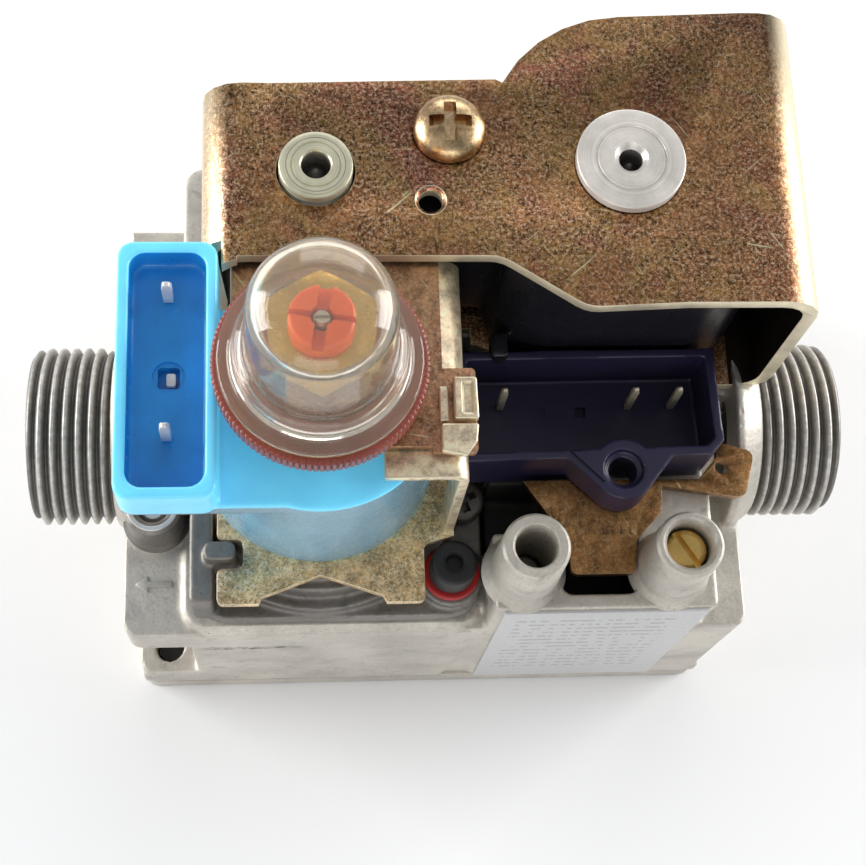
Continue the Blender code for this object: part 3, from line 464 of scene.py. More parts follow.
add_looks(
    "steel",
    steel=turned_metal("bright_steel", (0.80, 0.78, 0.74), 0.28, metallic=0.6),
    turned=turned_metal("turned_steel", (0.93, 0.88, 0.81), 0.30, 0.01, 0.35, EV1),
    green_zinc=turned_metal("green_zinc", (0.84, 0.81, 0.60), 0.30, 0.01, 0.40, EV2),
    contact=turned_metal("tinned_contact", (0.90, 0.89, 0.86), 0.30, metallic=0.3))
add_looks("brass", brass=turned_metal("brass", (0.84, 0.56, 0.18), 0.24))
add_looks("black_plastic", black=plastic("black_plastic", (0.010, 0.010, 0.014), 0.28))
add_looks("navy_plastic", navy=plastic("navy_plastic", (0.020, 0.017, 0.050), 0.34, 0.015))
# The blue has a painted glow; its two darker copies are painted shade, inside the socket and on the side
# walls.
add_looks(
    "blue_plastic",
    blue=plastic("blue_plastic", (0.15, 0.66, 1.0), 0.22, 0.006, 0.35, 0.6),
    blue_deep=plastic("blue_deep", (0.014, 0.32, 0.78), 0.24, 0.006, 0.0, 0.6),
    blue_wall=plastic("blue_wall", (0.19, 0.38, 0.50), 0.26, 0.002, 0.0, 0.7))
add_looks("orange_plastic", orange=plastic("orange_plastic", (0.95, 0.12, 0.015), 0.22, 0.01))
add_looks(
    "red_plastic",
    red=plastic("red_brown_plastic", (0.27, 0.060, 0.040), 0.30),
    seal=plastic("seal_red", (0.42, 0.012, 0.012), 0.4))
add_looks("black_rubber", rubber=plastic("black_rubber", (0.012, 0.012, 0.013), 0.5, 0.03))
add_looks("label", label=paper("label_paper"))
add_looks("clear", clear=clear_plastic("clear_plastic"))

# The look of a CAD node that is carried over as it is: by its slot, and then for four nodes by name.
SLOT_LOOK = {"cast_body": "cast", "yellow_steel": "zinc", "steel": "steel", "brass": "brass",
             "black_plastic": "black", "navy_plastic": "navy", "blue_plastic": "blue", "red_plastic": "red",
             "orange_plastic": "orange", "black_rubber": "rubber", "label": "label", "clear": "clear"}
# The outlet test screw, deep in its nipple, gets the darker cast as painted shade, and rear screw 1 the
# near-black painted shade.
NODE_LOOK = {"centre_screw": "steel", "outlet_test_screw": "cast_dark", "rear_gasket": "cast",
             "rear_screw_1": "pocket"}


# ---------------- shapes, modelled in millimetres

def shape(name, bm):
    bmesh.ops.recalc_face_normals(bm, faces=bm.faces)
    mesh = bpy.data.meshes.new(name)
    bm.to_mesh(mesh)
    bm.free()
    obj = bpy.data.objects.new(name, mesh)
    bpy.context.scene.collection.objects.link(obj)
    return obj


def copy_of(node, name):
    """The CAD node's own shape, as a new object in millimetres with joined corners."""
    bm = bmesh.new()
    bm.from_mesh(frame["nodes"][node].data)
    bmesh.ops.scale(bm, vec=(1 / MM,) * 3, verts=bm.verts)
    bmesh.ops.remove_doubles(bm, verts=bm.verts, dist=0.002)
    bmesh.ops.dissolve_limit(bm, angle_limit=math.radians(1.0), verts=bm.verts, edges=bm.edges)
    return shape(name, bm)


def box(low, high, corner=0.0):
    """A box between two points, with rounded upright edges where a corner radius is given."""
    bm = bmesh.new()
    bmesh.ops.create_cube(bm, size=1.0)
    low, high = Vector(low), Vector(high)
    bmesh.ops.scale(bm, vec=high - low, verts=bm.verts)
    if corner:
        upright = [e for e in bm.edges if abs((e.verts[0].co - e.verts[1].co).normalized().z) > 0.9]
        bmesh.ops.bevel(bm, geom=upright, offset=corner, segments=6, profile=0.5, affect="EDGES")
    bmesh.ops.translate(bm, vec=(low + high) / 2, verts=bm.verts)
    return shape("box", bm)


def rod(centre, low, high, radius, end_radius=None, axis="Z", sides=96):
    """A cylinder or cone from low to high along Z, or along X."""
    bm = bmesh.new()
    end_radius = radius if end_radius is None else end_radius
    bmesh.ops.create_cone(bm, cap_ends=True, segments=sides, radius1=radius, radius2=end_radius,
                          depth=high - low)
    place = Matrix.Translation((*centre, (low + high) / 2))
    if axis == "X":
        place = Matrix.Translation(((low + high) / 2, *centre)) @ Matrix.Rotation(math.pi / 2, 4, "Y")
    bmesh.ops.transform(bm, matrix=place, verts=bm.verts)
    return shape("rod", bm)


def prism(outline, low, high, upright="Z"):
    """A flat outline with thickness: (x, y) between two heights, or (x, z) between two y values."""
    bm = bmesh.new()
    if upright == "Z":
        face = bm.faces.new([bm.verts.new((u, v, low)) for u, v in outline])
        push = Vector((0.0, 0.0, high - low))
    else:
        face = bm.faces.new([bm.verts.new((u, low, v)) for u, v in outline])
        push = Vector((0.0, high - low, 0.0))
    made = bmesh.ops.extrude_face_region(bm, geom=[face])["geom"]
    bmesh.ops.translate(bm, vec=push, verts=[v for v in made if isinstance(v, bmesh.types.BMVert)])
    return shape("prism", bm)


def lathe(name, centre, profile, sides=96):
    """A turned shape round an upright axis, from points given as (radius, height).

    The profile starts and ends on the axis, or closes on itself.
    """
    bm = bmesh.new()
    verts = [bm.verts.new((r, 0.0, z)) for r, z in profile]
    edges = [bm.edges.new(pair) for pair in zip(verts, verts[1:])]
    if profile[0][0] > 0 and profile[-1][0] > 0:
        edges.append(bm.edges.new((verts[-1], verts[0])))
    bmesh.ops.spin(bm, geom=verts + edges, cent=(0, 0, 0), axis=(0, 0, 1), angle=2 * math.pi, steps=sides)
    bmesh.ops.remove_doubles(bm, verts=bm.verts, dist=1e-4)
    bmesh.ops.transform(bm, matrix=Matrix.Translation((*centre, 0.0)), verts=bm.verts)
    return shape(name, bm)


def bridge(bm, rings):
    """Join rings of vertices, each to the next, with four-sided faces."""
    for one, two in zip(rings, rings[1:]):
        for i in range(len(one)):
            j = (i + 1) % len(one)
            bm.faces.new((one[i], one[j], two[j], two[i]))


def rounded(points, steps=6):
    """Corners given as (x, y, radius), each replaced by an arc where it has a radius."""
    outline = []
    for i, (x, y, radius) in enumerate(points):
        here = Vector((x, y))
        if not radius:
            outline.append(here)
            continue
        before = (Vector(points[i - 1][:2]) - here).normalized()
        after = (Vector(points[(i + 1) % len(points)][:2]) - here).normalized()
        half = before.angle(after) / 2
        centre = here + (before + after).normalized() * (radius / math.sin(half))
        start = here + before * (radius / math.tan(half)) - centre
        sweep = start.angle_signed(here + after * (radius / math.tan(half)) - centre)
        for step in range(steps + 1):
            outline.append(centre + Matrix.Rotation(-sweep * step / steps, 2) @ start)
    return [(p.x, p.y) for p in outline]


def bent_strip(corners, thickness, bend):
    """Closed outline of a bent sheet from its centre line, with a bend radius at each inner corner."""
    ends = [(*corners[0], 0.0)] + [(*c, bend) for c in corners[1:-1]] + [(*corners[-1], 0.0)]
    line = [Vector(p) for p in rounded(ends, steps=8)]
    sides = ([], [])
    for i, point in enumerate(line):
        before = (point - line[i - 1]).normalized() if i else Vector((0.0, 0.0))
        after = (line[i + 1] - point).normalized() if i + 1 < len(line) else Vector((0.0, 0.0))
        along = (before + after).normalized()
        normal = Vector((-along.y, along.x))
        for side, sign in zip(sides, (1, -1)):
            side.append(point + normal * sign * thickness / 2)
    return [(p.x, p.y) for p in sides[0] + sides[1][::-1]]


def modify(obj, kind, **settings):
    """Apply one modifier to an object."""
    modifier = obj.modifiers.new("step", kind)
    for key, value in settings.items():
        setattr(modifier, key, value)
    result = obj.evaluated_get(bpy.context.evaluated_depsgraph_get())
    mesh = bpy.data.meshes.new_from_object(result)
    obj.modifiers.clear()
    obj.data = mesh
    return obj


def combine(obj, others, operation):
    for other in others:
        modify(obj, "BOOLEAN", operation=operation, object=other, solver="EXACT")
        bpy.data.objects.remove(other)
    return obj


def join(obj, *others):
    return combine(obj, others, "UNION")


def cut(obj, *others):
    return combine(obj, others, "DIFFERENCE")


def keep(obj, *others):
    return combine(obj, others, "INTERSECT")


def soften(obj, voxel, passes=3):
    """Even the mesh out and round every edge a little, as a cast or moulded part has them."""
    modify(obj, "REMESH", mode="VOXEL", voxel_size=voxel, use_smooth_shade=True)
    return modify(obj, "SMOOTH", factor=0.5, iterations=passes)


def bevelled(obj, width, segments=2, angle=40.0):
    """Round the sharp edges. The narrow new faces use the second material, if the piece has one."""
    if not obj.data.materials:
        obj.data.materials.append(None)
        obj.data.materials.append(None)
    return modify(obj, "BEVEL", width=width, segments=segments, limit_method="ANGLE",
                  angle_limit=math.radians(angle), use_clamp_overlap=True, material=1)


def within(point, ranges):
    """Whether each coordinate lies between its two limits."""
    return all(low < value < high for value, (low, high) in zip(point, ranges))


def dress(obj, name, look, body, *nodes, smooth=35.0, edge=None, inner=None):
    """Bring a finished shape to metres, give it its materials and let it ride on its body.

    Faces with material index 1 get the edge look, and those with index 2 the inner look.
    """
    obj.name = name
    obj.data.transform(Matrix.Diagonal((MM, MM, MM, 1.0)))
    material, slot = LOOKS[look]
    indices = [polygon.material_index for polygon in obj.data.polygons]
    obj.data.materials.clear()
    obj.data.materials.append(material)
    for extra in (edge, inner):
        if extra:
            obj.data.materials.append(LOOKS[extra][0])
    if edge:
        obj.data.polygons.foreach_set("material_index", indices)
    obj.data.shade_smooth()
    obj.data.set_sharp_from_angle(angle=math.radians(smooth))
    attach(obj, body)
    if nodes:
        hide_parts(*nodes)
    return obj


def recolour(node, look):
    """Give a carried-over CAD node its material."""
    data = frame["nodes"][node].data
    data.materials.clear()
    data.materials.append(LOOKS[look][0])


# ---------------- body

NECK_ROOT_X = 43.0
NECK_ROOT_R = 16.2
TEST_BORE_R = 5.6
OFFSET_BORE_R = 4.4
# Two boxes on the deck: the body's faces inside them are painted near-black as painted shade.
POCKET_Z = (40.0, 52.4)
POCKETS = (((5.0, 15.3), (-20.0, -11.0), POCKET_Z), ((15.8, 27.2), (-29.0, -14.0), POCKET_Z))


def casting():
    """The die-cast body, with its threads and nipples left out and every edge softened. Faces in two pockets
    are painted near-black as painted shade.
    """
    body = copy_of("valve_body", "body_casting")
    for sign in (-1, 1):
        near, far = sorted((sign * NECK_X, sign * (END_X + 2)))
        cut(body, box((near, -20, AXIS_Z - 20), (far, 20, AXIS_Z + 20)))
        near, far = sorted((sign * NECK_ROOT_X, sign * (NECK_X + 0.3)))
        radii = (NECK_ROOT_R, THREAD_R + 0.1)
        join(body, rod((0.0, AXIS_Z), near, far, *radii[::sign], axis="X"))
        near, far = sorted((sign * 42.0, sign * 49.0))
        cut(body, rod((0.0, AXIS_Z), near, far, PORT_R, axis="X"))
    for node in ("outlet_test_screw", "inlet_test_screw"):
        x, y = middle(node).xy
        cut(body, rod((x, y), 53.4, 70.0, TEST_BORE_R))
    boss = middle("offset_screw").xy
    cut(body, rod(boss, span("offset_screw")[1].z - 5.0, 60.0, OFFSET_BORE_R))
    low, high = span("rear_cover")
    join(body, box((low.x + 0.1, low.y, high.z + 0.1), (high.x - 0.1, low.y + 3.0, 7.0)))
    low, high = span("regulator_cover")
    join(body, box((low.x - 1.4, low.y - 0.4, 36.0), (high.x, high.y + 1.0, low.z - 0.35), 3.0))
    slanted_step = prism([(2.0, 0.0), (7.4, 0.0), (7.4, 33.5), (5.2, 33.5)], -33.0, -30.5, "Y")
    cut(body, slanted_step)
    soften(body, 0.42, 3)
    # Painted shade: faces inside the pocket boxes take the near-black look.
    for polygon in body.data.polygons:
        polygon.material_index = int(any(within(polygon.center, pocket) for pocket in POCKETS))
    return dress(body, "body_casting", "cast", "valve", "valve_body", smooth=180.0, edge="pocket")


def thread_height(position, turns):
    """Whitworth-like ridge, from 0 at the root to 1 at the crest."""
    phase = (position / PITCH - turns) % 1.0
    ridge = 1.0 - abs(2.0 * phase - 1.0)
    return min(1.0, max(0.0, (ridge - 0.14) / 0.66))


def threaded_end(name, sign):
    """A true helical thread with its bore. It fades out at both ends."""
    sides, step = 128, PITCH / 14
    rows = int((END_X - NECK_X) / step)
    bm = bmesh.new()
    rings = []
    profile = [(NECK_X - 3.5, PORT_R), (NECK_X - 3.5, THREAD_ROOT)]
    profile += [(NECK_X + i * (END_X - NECK_X) / rows, None) for i in range(rows + 1)]
    profile += [(END_X, PORT_R + 0.6), (END_X - 0.6, PORT_R)]
    for x, radius in profile:
        ring = []
        for i in range(sides):
            angle = 2 * math.pi * i / sides
            r = radius
            if r is None:
                run_in = min(1.0, (x - NECK_X) / 1.6)
                run_out = min(1.0, (END_X - x) / 1.1 + 0.15)
                ridge = THREAD_ROOT + (THREAD_R - THREAD_ROOT) * thread_height(x, i / sides)
                r = THREAD_ROOT + (ridge - THREAD_ROOT) * min(run_in, run_out)
            ring.append(bm.verts.new((sign * x, r * math.cos(angle), AXIS_Z + r * math.sin(angle))))
        rings.append(ring)
    bridge(bm, rings + rings[:1])
    dress(shape(name, bm), name, "thread", "valve", smooth=60.0)


def nipple(name, node, bore, flare):
    """A test nipple, open down to the screw inside it."""
    x, y = middle(node).xy
    base, top = 52.4, span("valve_body")[1].z
    depth = span(node)[1].z
    profile = rounded([
        (bore, depth, 0), (bore, top - flare, 0), (bore + flare, top, 0.12), (4.25, top, 0.2),
        (4.62, top - 0.5, 0.15), (4.66, top - 2.6, 0), (4.92, base + 2.0, 0.8), (6.0, base, 0),
        (bore, base, 0)])
    dress(lathe(name, (x, y), profile), name, "cast", "valve", smooth=50.0)


def offset_boss():
    """The small boss over the offset screw, with a bright rim round its mouth."""
    x, y = middle("offset_screw").xy
    top = span("offset_screw")[1].z + 0.9
    profile = rounded([
        (2.3, top - 5.5, 0), (2.3, top - 0.3, 0.1), (2.75, top, 0.1), (3.6, top, 0.2), (4.2, top - 0.5, 0.3),
        (4.3, 42.0, 0.8), (5.2, 40.0, 0.6), (2.3, 40.0, 0)])
    dress(lathe("offset_boss", (x, y), profile), "offset_boss", "cast_dark", "valve", smooth=50.0)
    rim = rounded([(3.0, top - 0.2, 0), (3.0, top + 0.3, 0.15), (3.7, top + 0.3, 0.15), (3.7, top - 0.2, 0)])
    dress(lathe("offset_rim", (x, y), rim), "offset_rim", "steel", "valve", smooth=50.0)


def slotted_head(name, node, look, body, cross=False, angle=0.0, dome=0.0):
    """A screw with a true slot or a tapered cross recess, in its CAD node's place."""
    low, high = span(node)
    x, y = ((low + high) / 2).xy
    radius = (high.x - low.x) / 2
    top = high.z
    head = 0.55 * radius + 0.6
    profile = [(0.0, low.z), (0.55 * radius, low.z), (0.55 * radius, top - head - 0.01), (radius, top - head)]
    steps = 10
    rounding = 0.75 if dome else 0.35
    for i in range(steps + 1):
        t = i / steps * math.pi / 2
        drop = head * rounding * (1 - math.sin(t))
        profile.append((radius - rounding * radius * (1 - math.cos(t)), top - dome - drop))
    profile.append((0.0, top))
    screw = lathe(name, (x, y), profile, 72)
    turn = Matrix.Translation((x, y, 0.0)) @ Matrix.Rotation(math.radians(angle), 4, "Z")
    arms = (0.0, 90.0) if cross else (0.0,)
    for arm in arms:
        bm = bmesh.new()
        bmesh.ops.create_cube(bm, size=1.0)
        length = 1.75 * radius if cross else 2.6 * radius
        width = 0.45 * radius if cross else 0.28 * radius
        depth = 1.8 if cross else 0.5 * head
        bmesh.ops.scale(bm, vec=(length, width, 2 * depth), verts=bm.verts)
        if cross:
            for v in bm.verts:
                if v.co.z < 0:
                    v.co.x *= 0.5
                    v.co.y *= 0.6
        place = turn @ Matrix.Rotation(math.radians(arm), 4, "Z")
        bmesh.ops.transform(bm, matrix=Matrix.Translation((0, 0, top)) @ place, verts=bm.verts)
        cut(screw, shape("recess", bm))
    # For the gold screw, faces inside the cross recess get a darker zinc as painted shade.
    for polygon in screw.data.polygons:
        off = (Vector((x, y)) - polygon.center.xy).length
        polygon.material_index = 1 if cross and off < 0.68 * radius and polygon.normal.z < 0.8 else 0
    dress(screw, name, look, body, node, smooth=38.0, edge="zinc_dark" if look == "screw_gold" else look)


def label():
    low, high = span("label_plate")
    plate = box((low.x, low.y - 0.05, low.z), (high.x, high.y + 0.25, high.z))
    dress(bevelled(plate, 0.12, 2), "label_sheet", "label", "valve", "label_plate")


def cast_arrow():
    """Plain flow arrow beside the outlet, in place of lettering."""
    x, y, z = -41.9, -23.2, 39.35
    arrow = [(x - 2.8, y), (x - 0.9, y + 1.3), (x - 0.9, y + 0.45), (x + 2.6, y + 0.45), (x + 2.6, y - 0.45),
             (x - 0.9, y - 0.45), (x - 0.9, y - 1.3)]
    dress(bevelled(prism(arrow, z, z + 0.4), 0.12, 2), "cast_arrow", "cast", "valve")


def regulator_casting():
    """The regulator's cover: round steps under the yoke, a column, a hook and sunk screws."""
    cover = copy_of("regulator_cover", "regulator_casting")
    low, high = span("regulator_cover")
    yoke_low = span("modulator_yoke")[0].z
    limits = box((low.x, low.y, low.z), (high.x, high.y, yoke_low - 0.3), 5.0)
    round_top = rod(REG, 42.0, 45.6, 22.3, 22.0, sides=160)
    for top, radius in ((48.0, 20.6), (yoke_low - 0.4, 18.6)):
        join(round_top, rod(REG, 44.0, top, radius, radius - 0.9, sides=160))
    keep(round_top, limits)
    cut(cover, rod(REG, 44.0, 60.0, 23.5))
    join(cover, round_top)
    column = box((low.x + 0.1, low.y + 0.6, 42.0), (low.x + 3.4, -15.5, 52.4), 1.0)
    hook = box((-34.0, -23.6, 48.0), (-29.6, -20.9, span("regulator_cover")[1].z), 1.0)
    join(cover, column, hook)
    plug = middle("breather_plug").xy
    cut(cover, rod(plug, 45.6, 60.0, 5.4))
    for i in (1, 2):
        cut(cover, rod(middle("regulator_cover_screw_%d" % i).xy, 44.0, 53.0, 3.8))
    cut(cover, rod(REG, 39.0, 49.0, 15.0))
    soften(cover, 0.32, 3)
    return dress(cover, "regulator_casting", "cast_dark", "valve", "regulator_cover", smooth=180.0)


def plug_and_seal():
    x, y = middle("breather_plug").xy
    low, high = span("breather_plug")
    dimple = [(0.0, high.z - 1.6), (1.1, high.z - 1.6), (1.3, high.z - 0.2)]
    head = rounded([(1.5, high.z, 0.2), (3.3, high.z, 0.7), (3.3, 47.3, 0.1), (1.9, 47.3, 0)])
    plug = lathe("plug", (x, y), dimple + head + [(1.9, low.z), (0.0, low.z)])
    dress(plug, "pressure_plug", "rubber", "valve", "breather_plug", smooth=50.0)
    low, high = span("plug_seal")
    radius = (high.x - low.x) / 2
    seal = lathe("seal", (x, y), rounded([
        (2.5, low.z, 0.1), (2.5, high.z, 0.2), (radius, high.z, 0.45), (radius, low.z, 0.3)]))
    dress(seal, "plug_washer", "seal", "valve", "plug_seal", smooth=60.0)


# ---------------- solenoids

def bracket():
    """The bent yoke: a painted highlight along its cut and rounded edges, and painted shade on the faces that
    look inwards.
    """
    sheet = copy_of("ev_bracket", "bracket_sheet")
    bevelled(sheet, 0.22, 2, 38.0)
    low, high = span("ev_bracket")
    # Index 1 is the pale painted highlight on edges; index 2 is near-black painted shade on inward and
    # downward faces.
    for polygon in sheet.data.polygons:
        x, z = polygon.center.x, polygon.center.z
        if abs(polygon.normal.z) < 0.3 and z > high.z - 2.2 and low.x + 5 < x < high.x - 5:
            polygon.material_index = 1
        if abs(polygon.normal.y) > 0.8:
            polygon.material_index = 1
        elif polygon.material_index == 0 and z < high.z - 0.8:
            inward = polygon.normal.x * ((low.x + high.x) / 2 - x) > 0
            if (inward and abs(polygon.normal.x) > 0.1) or polygon.normal.z < -0.2:
                polygon.material_index = 2
    dress(sheet, "bracket_sheet", "zinc", "valve", "ev_bracket", smooth=38.0,
          edge="zinc_edge", inner="zinc_inside")


def core_disc(name, node, grooves, hole, flare, look):
    """The visible end of a fixed core, with turned grooves and a tapped hole flared at its mouth."""
    low, high = span(node)
    x, y = ((low + high) / 2).xy
    radius = (high.x - low.x) / 2
    top = high.z
    profile = [(0.0, top - 2.4)]
    ball = hole * 0.55
    profile += [(ball * math.sin(a), top - 3.0 + ball * math.cos(a)) for a in (0.4, 0.8, 1.2, 1.5)]
    for i in range(4):
        profile += [(hole, top - 3.6 + 0.7 * i), (hole + 0.22, top - 3.25 + 0.7 * i)]
    profile += [(hole, top - 0.8), (hole, top - flare), (hole + flare, top)]
    for at in grooves:
        profile += [(at - 0.18, top), (at - 0.07, top - 0.16), (at + 0.07, top - 0.16), (at + 0.18, top)]
    profile += rounded([(radius - 1.0, top, 0), (radius, top - 0.12, 0.25), (radius, low.z + 2, 0)])[:-2]
    disc_low = top - 1.4
    shank = 0.62 * radius
    profile += [(radius, disc_low), (shank, disc_low), (shank, low.z), (0.0, low.z)]
    disc = lathe(name, (x, y), profile, 128)
    # Painted shade: faces down in the tapped hole get the dark cast look.
    for polygon in disc.data.polygons:
        off = (Vector((x, y)) - polygon.center.xy).length
        polygon.material_index = 1 if off < hole + 0.3 and polygon.center.z < top - 0.75 else 0
    dress(disc, name, look, "valve", node, smooth=30.0, edge="cast_dark")


def coil_block():
    """The black block with both windings, a sleeve round the second core and a small tab."""
    block = copy_of("coil_block", "winding_block")
    join(block, rod(EV2, 53.6, 82.2, 9.95, sides=128))
    cut(block, rod(EV2, 50.0, 84.0, 5.25), rod(EV1, 50.0, 84.0, 6.35))
    join(block, box((6.2, 2.9, 60.0), (8.7, 6.5, 63.6)))
    soften(block, 0.5, 4)
    dress(block, "winding_block", "black", "valve", "coil_block", smooth=180.0)


def connector():
    """The solenoids' plug socket, with its fixing ear, a groove, two key holes and three blades."""
    top = span("coil_connector")[1].z
    socket = copy_of("coil_connector", "solenoid_socket")
    ear = Vector((24.2, -13.2))
    join(socket, rod(ear, 55.1, top, 4.35))
    cut(socket, rod(ear, 50.0, 64.0, 1.95, sides=48), rod(ear, top - 1.1, 64.0, 2.75))
    soften(socket, 0.24, 3)
    for x, y, half, deep in ((20.1, -1.9, 0.8, 1.2), (14.3, -1.9, 0.65, 0.25)):
        cut(socket, box((x - half, y - half, 53.0 - deep), (x + half, y + half, 54.0)))
    groove = prism([(16.6, -10.2), (21.4, -15.0), (21.1, -15.3), (16.2, -10.5)], top - 0.3, top + 1)
    cut(socket, groove)
    dress(socket, "solenoid_socket", "navy", "valve", "coil_connector", smooth=50.0)
    for i in (1, 2, 3):
        blade("solenoid_pin_%d" % i, "connector_pin_%d" % i, "zinc_edge", (0.5, 0.42))


def blade(name, node, look, half):
    """A contact blade with a tapered tip."""
    low, high = span(node)
    x, y = ((low + high) / 2).xy
    bm = bmesh.new()
    signs = ((-1, -1), (1, -1), (1, 1), (-1, 1))
    rows = [(low.z, 1.0), (high.z - 1.1, 1.0), (high.z - 0.35, 0.78), (high.z, 0.42)]
    rings = []
    for z, scale in rows:
        corners = [(x + sx * half[0] * scale, y + sy * half[1] * scale, z) for sx, sy in signs]
        rings.append([bm.verts.new(corner) for corner in corners])
    bridge(bm, rings)
    bm.faces.new(rings[0][::-1])
    bm.faces.new(rings[-1])
    dress(bevelled(shape(name, bm), 0.1, 2, 25.0), name, look, "valve", node)


def earth_tongue():
    """The earthing tongue, with a row of small notches pressed into it."""
    plate = copy_of("earth_plate", "earth_tongue")
    top = span("earth_plate")[1].z
    for i in range(9):
        x = 16.8 + 1.25 * i
        cut(plate, box((x, -20.7, top - 0.25), (x + 0.42, -18.9, top + 1)))
    bevelled(plate, 0.16, 2)
    # Its rounded edges get the pale painted highlight.
    dress(plate, "earth_tongue", "zinc_gold", "valve", "earth_plate", edge="zinc_edge")


# ---------------- modulator

def modulator_base():
    """The lower sheet round the coil, and its leg with a bend of a real sheet's radius."""
    yoke = copy_of("modulator_yoke", "modulator_base")
    top = span("modulator_yoke")[1].z
    cut(yoke, box((-12.0, -21.0, 53.2), (3.0, -14.0, top + 2)))
    bevelled(yoke, 0.2, 2)
    # Its rounded edges get the pale painted highlight.
    dress(yoke, "modulator_base", "zinc_pale", "valve", "modulator_yoke", edge="zinc_edge")
    path = [(-10.0, top - 0.75), (0.2, top - 0.75), (0.2, 52.0)]
    leg = prism(bent_strip(path, 1.4, 1.6), -19.6, -15.0, "Y")
    # The leg's cream look is a painted highlight on it and its bend; its rounded edges get the pale painted
    # highlight.
    dress(bevelled(leg, 0.2, 2), "modulator_leg", "zinc_cream", "valve", edge="zinc_edge")


def modulator_top():
    """The upper sheet, bent down at the right, and the three raised clips that stand on it."""
    low, high = span("modulator_top_plate")
    top = high.z - 1.7
    clip_low = top + 0.02
    plate = box((low.x, -16.0, top - 1.5), (-2.4, 10.4, top), 0.8)
    cut(plate, box((low.x - 2.0, -18.0, top - 3.0), (-21.5, -8.0, top + 1.0), 1.5))
    path = [(-6.0, top - 0.75), (-0.15, top - 0.75), (-0.15, low.z)]
    join(plate, prism(bent_strip(path, 1.5, 2.6), -6.0, 9.4, "Y"))
    join(plate, box((-4.0, -16.9, top - 1.5), (1.8, -5.6, top), 0.6))
    cut(plate, rod(REG, top - 3, top + 3, 7.6))
    bevelled(plate, 0.18, 2)
    # Painted highlight: the bent-down right side's outward and upward faces get the cream look.
    for polygon in plate.data.polygons:
        x, y = polygon.center.xy
        if x > -2.5 and -5.9 < y < 9.3 and (polygon.normal.x > 0.03 or polygon.normal.z > 0.5):
            polygon.material_index = 2
    # Its rounded edges get the pale painted highlight.
    dress(plate, "modulator_plate", "zinc_brown", "valve", "modulator_top_plate",
          edge="zinc_edge", inner="zinc_cream")
    foot = prism(rounded([(-2.9, -13.4, 0.3), (1.9, -13.4, 0.3), (1.6, -15.8, 0.6), (0.2, -17.7, 0.6),
                          (-2.9, -17.0, 0.3)]), clip_low, high.z - 0.4)
    tab = prism(rounded([(-1.2, -7.3, 0.3), (1.8, -7.3, 0.4), (1.9, -12.9, 0.3), (-1.2, -12.9, 0.3)]),
                clip_low, high.z)
    cut(tab, box((-0.1, -12.2, high.z - 0.5), (1.2, -8.0, high.z + 1), 0.3))
    lug = prism(rounded([(-3.0, -8.4, 0.2), (-1.9, -8.4, 0.2), (-1.9, -13.0, 0.2), (-3.0, -13.0, 0.2)]),
                clip_low, high.z - 0.6)
    for i, clip in enumerate((foot, tab, lug), 1):
        # The clips' rounded edges get the pale painted highlight.
        dress(bevelled(clip, 0.25, 3), "modulator_clip_%d" % i, "zinc_cream", "valve", edge="zinc_edge")


def blue_coil():
    """The blue coil and its plug socket. Its side walls and the inside of the socket get painted shade."""
    low, high = span("modulator_coil")
    coil_top = 78.0
    coil = rod(REG, low.z, coil_top, 16.8, 16.35, sides=160)
    web = box((-33.0, -22.6, 74.6), (-20.0, 4.0, coil_top))
    socket = box((low.x, -23.2, 76.6), (-30.8, 10.9, high.z), 2.0)
    join(coil, web, socket)
    cut(coil, box((low.x + 1.5, -21.7, 80.4), (-32.3, 9.4, high.z + 1), 2.0))
    cut(coil, rod(REG, 50.0, 80.0, 7.5))
    soften(coil, 0.27, 4)
    cut(coil, rod((-37.1, -6.1), 80.05, 82.0, 2.1), box((-38.5, -7.6, 78.4), (-35.7, -4.7, 82.0), 0.5))
    # Painted shade: upright walls get index 1, faces inside the socket index 2.
    for polygon in coil.data.polygons:
        x, y, z = polygon.center
        if abs(polygon.normal.z) < 0.45 and z < coil_top - 0.6:
            polygon.material_index = 1
        elif low.x + 1.2 < x < -32.0 and -22.0 < y < 9.7 and z < high.z - 0.5:
            polygon.material_index = 2
    dress(coil, "blue_coil", "blue", "valve", "modulator_coil", smooth=50.0,
          edge="blue_wall", inner="blue_deep")
    peg = box((-37.4, -7.3, 78.5), (-36.2, -5.6, 80.3), 0.3)
    dress(bevelled(peg, 0.1, 2), "socket_peg", "contact", "valve")
    for i in (1, 2):
        blade("modulator_blade_%d" % i, "modulator_pin_%d" % i, "contact", (0.65, 0.5))


def ridged_ring():
    """The ring under the cap, with fine upright ridges round its rim."""
    low, high = span("knurled_ring")
    outer = (high.x - low.x) / 2
    inner = 7.6
    ridges = 110
    sides = 4 * ridges
    bm = bmesh.new()
    top = high.z - 1.2
    rows = [(top, -1.1), (top, -0.35), (top - 0.25, 0.0), (85.2, 0.0), (84.9, -0.3), (84.9, -2.6),
            (low.z, -2.6)]
    rings = []
    for z, inset in rows:
        ring = []
        for i in range(sides):
            angle = 2 * math.pi * i / sides
            groove = 0.26 * max(0.0, math.cos(ridges * angle)) if -0.2 < inset <= 0.0 else 0.0
            r = outer + inset - groove
            ring.append(bm.verts.new((REG.x + r * math.cos(angle), REG.y + r * math.sin(angle), z)))
        rings.append(ring)
    for inner_z in (low.z, top):
        ring = []
        for i in range(sides):
            angle = 2 * math.pi * i / sides
            place = (REG.x + inner * math.cos(angle), REG.y + inner * math.sin(angle), inner_z)
            ring.append(bm.verts.new(place))
        rings.append(ring)
    bridge(bm, rings + rings[:1])
    dress(shape("ridged_ring", bm), "ridged_ring", "red", "valve", "knurled_ring", smooth=40.0)


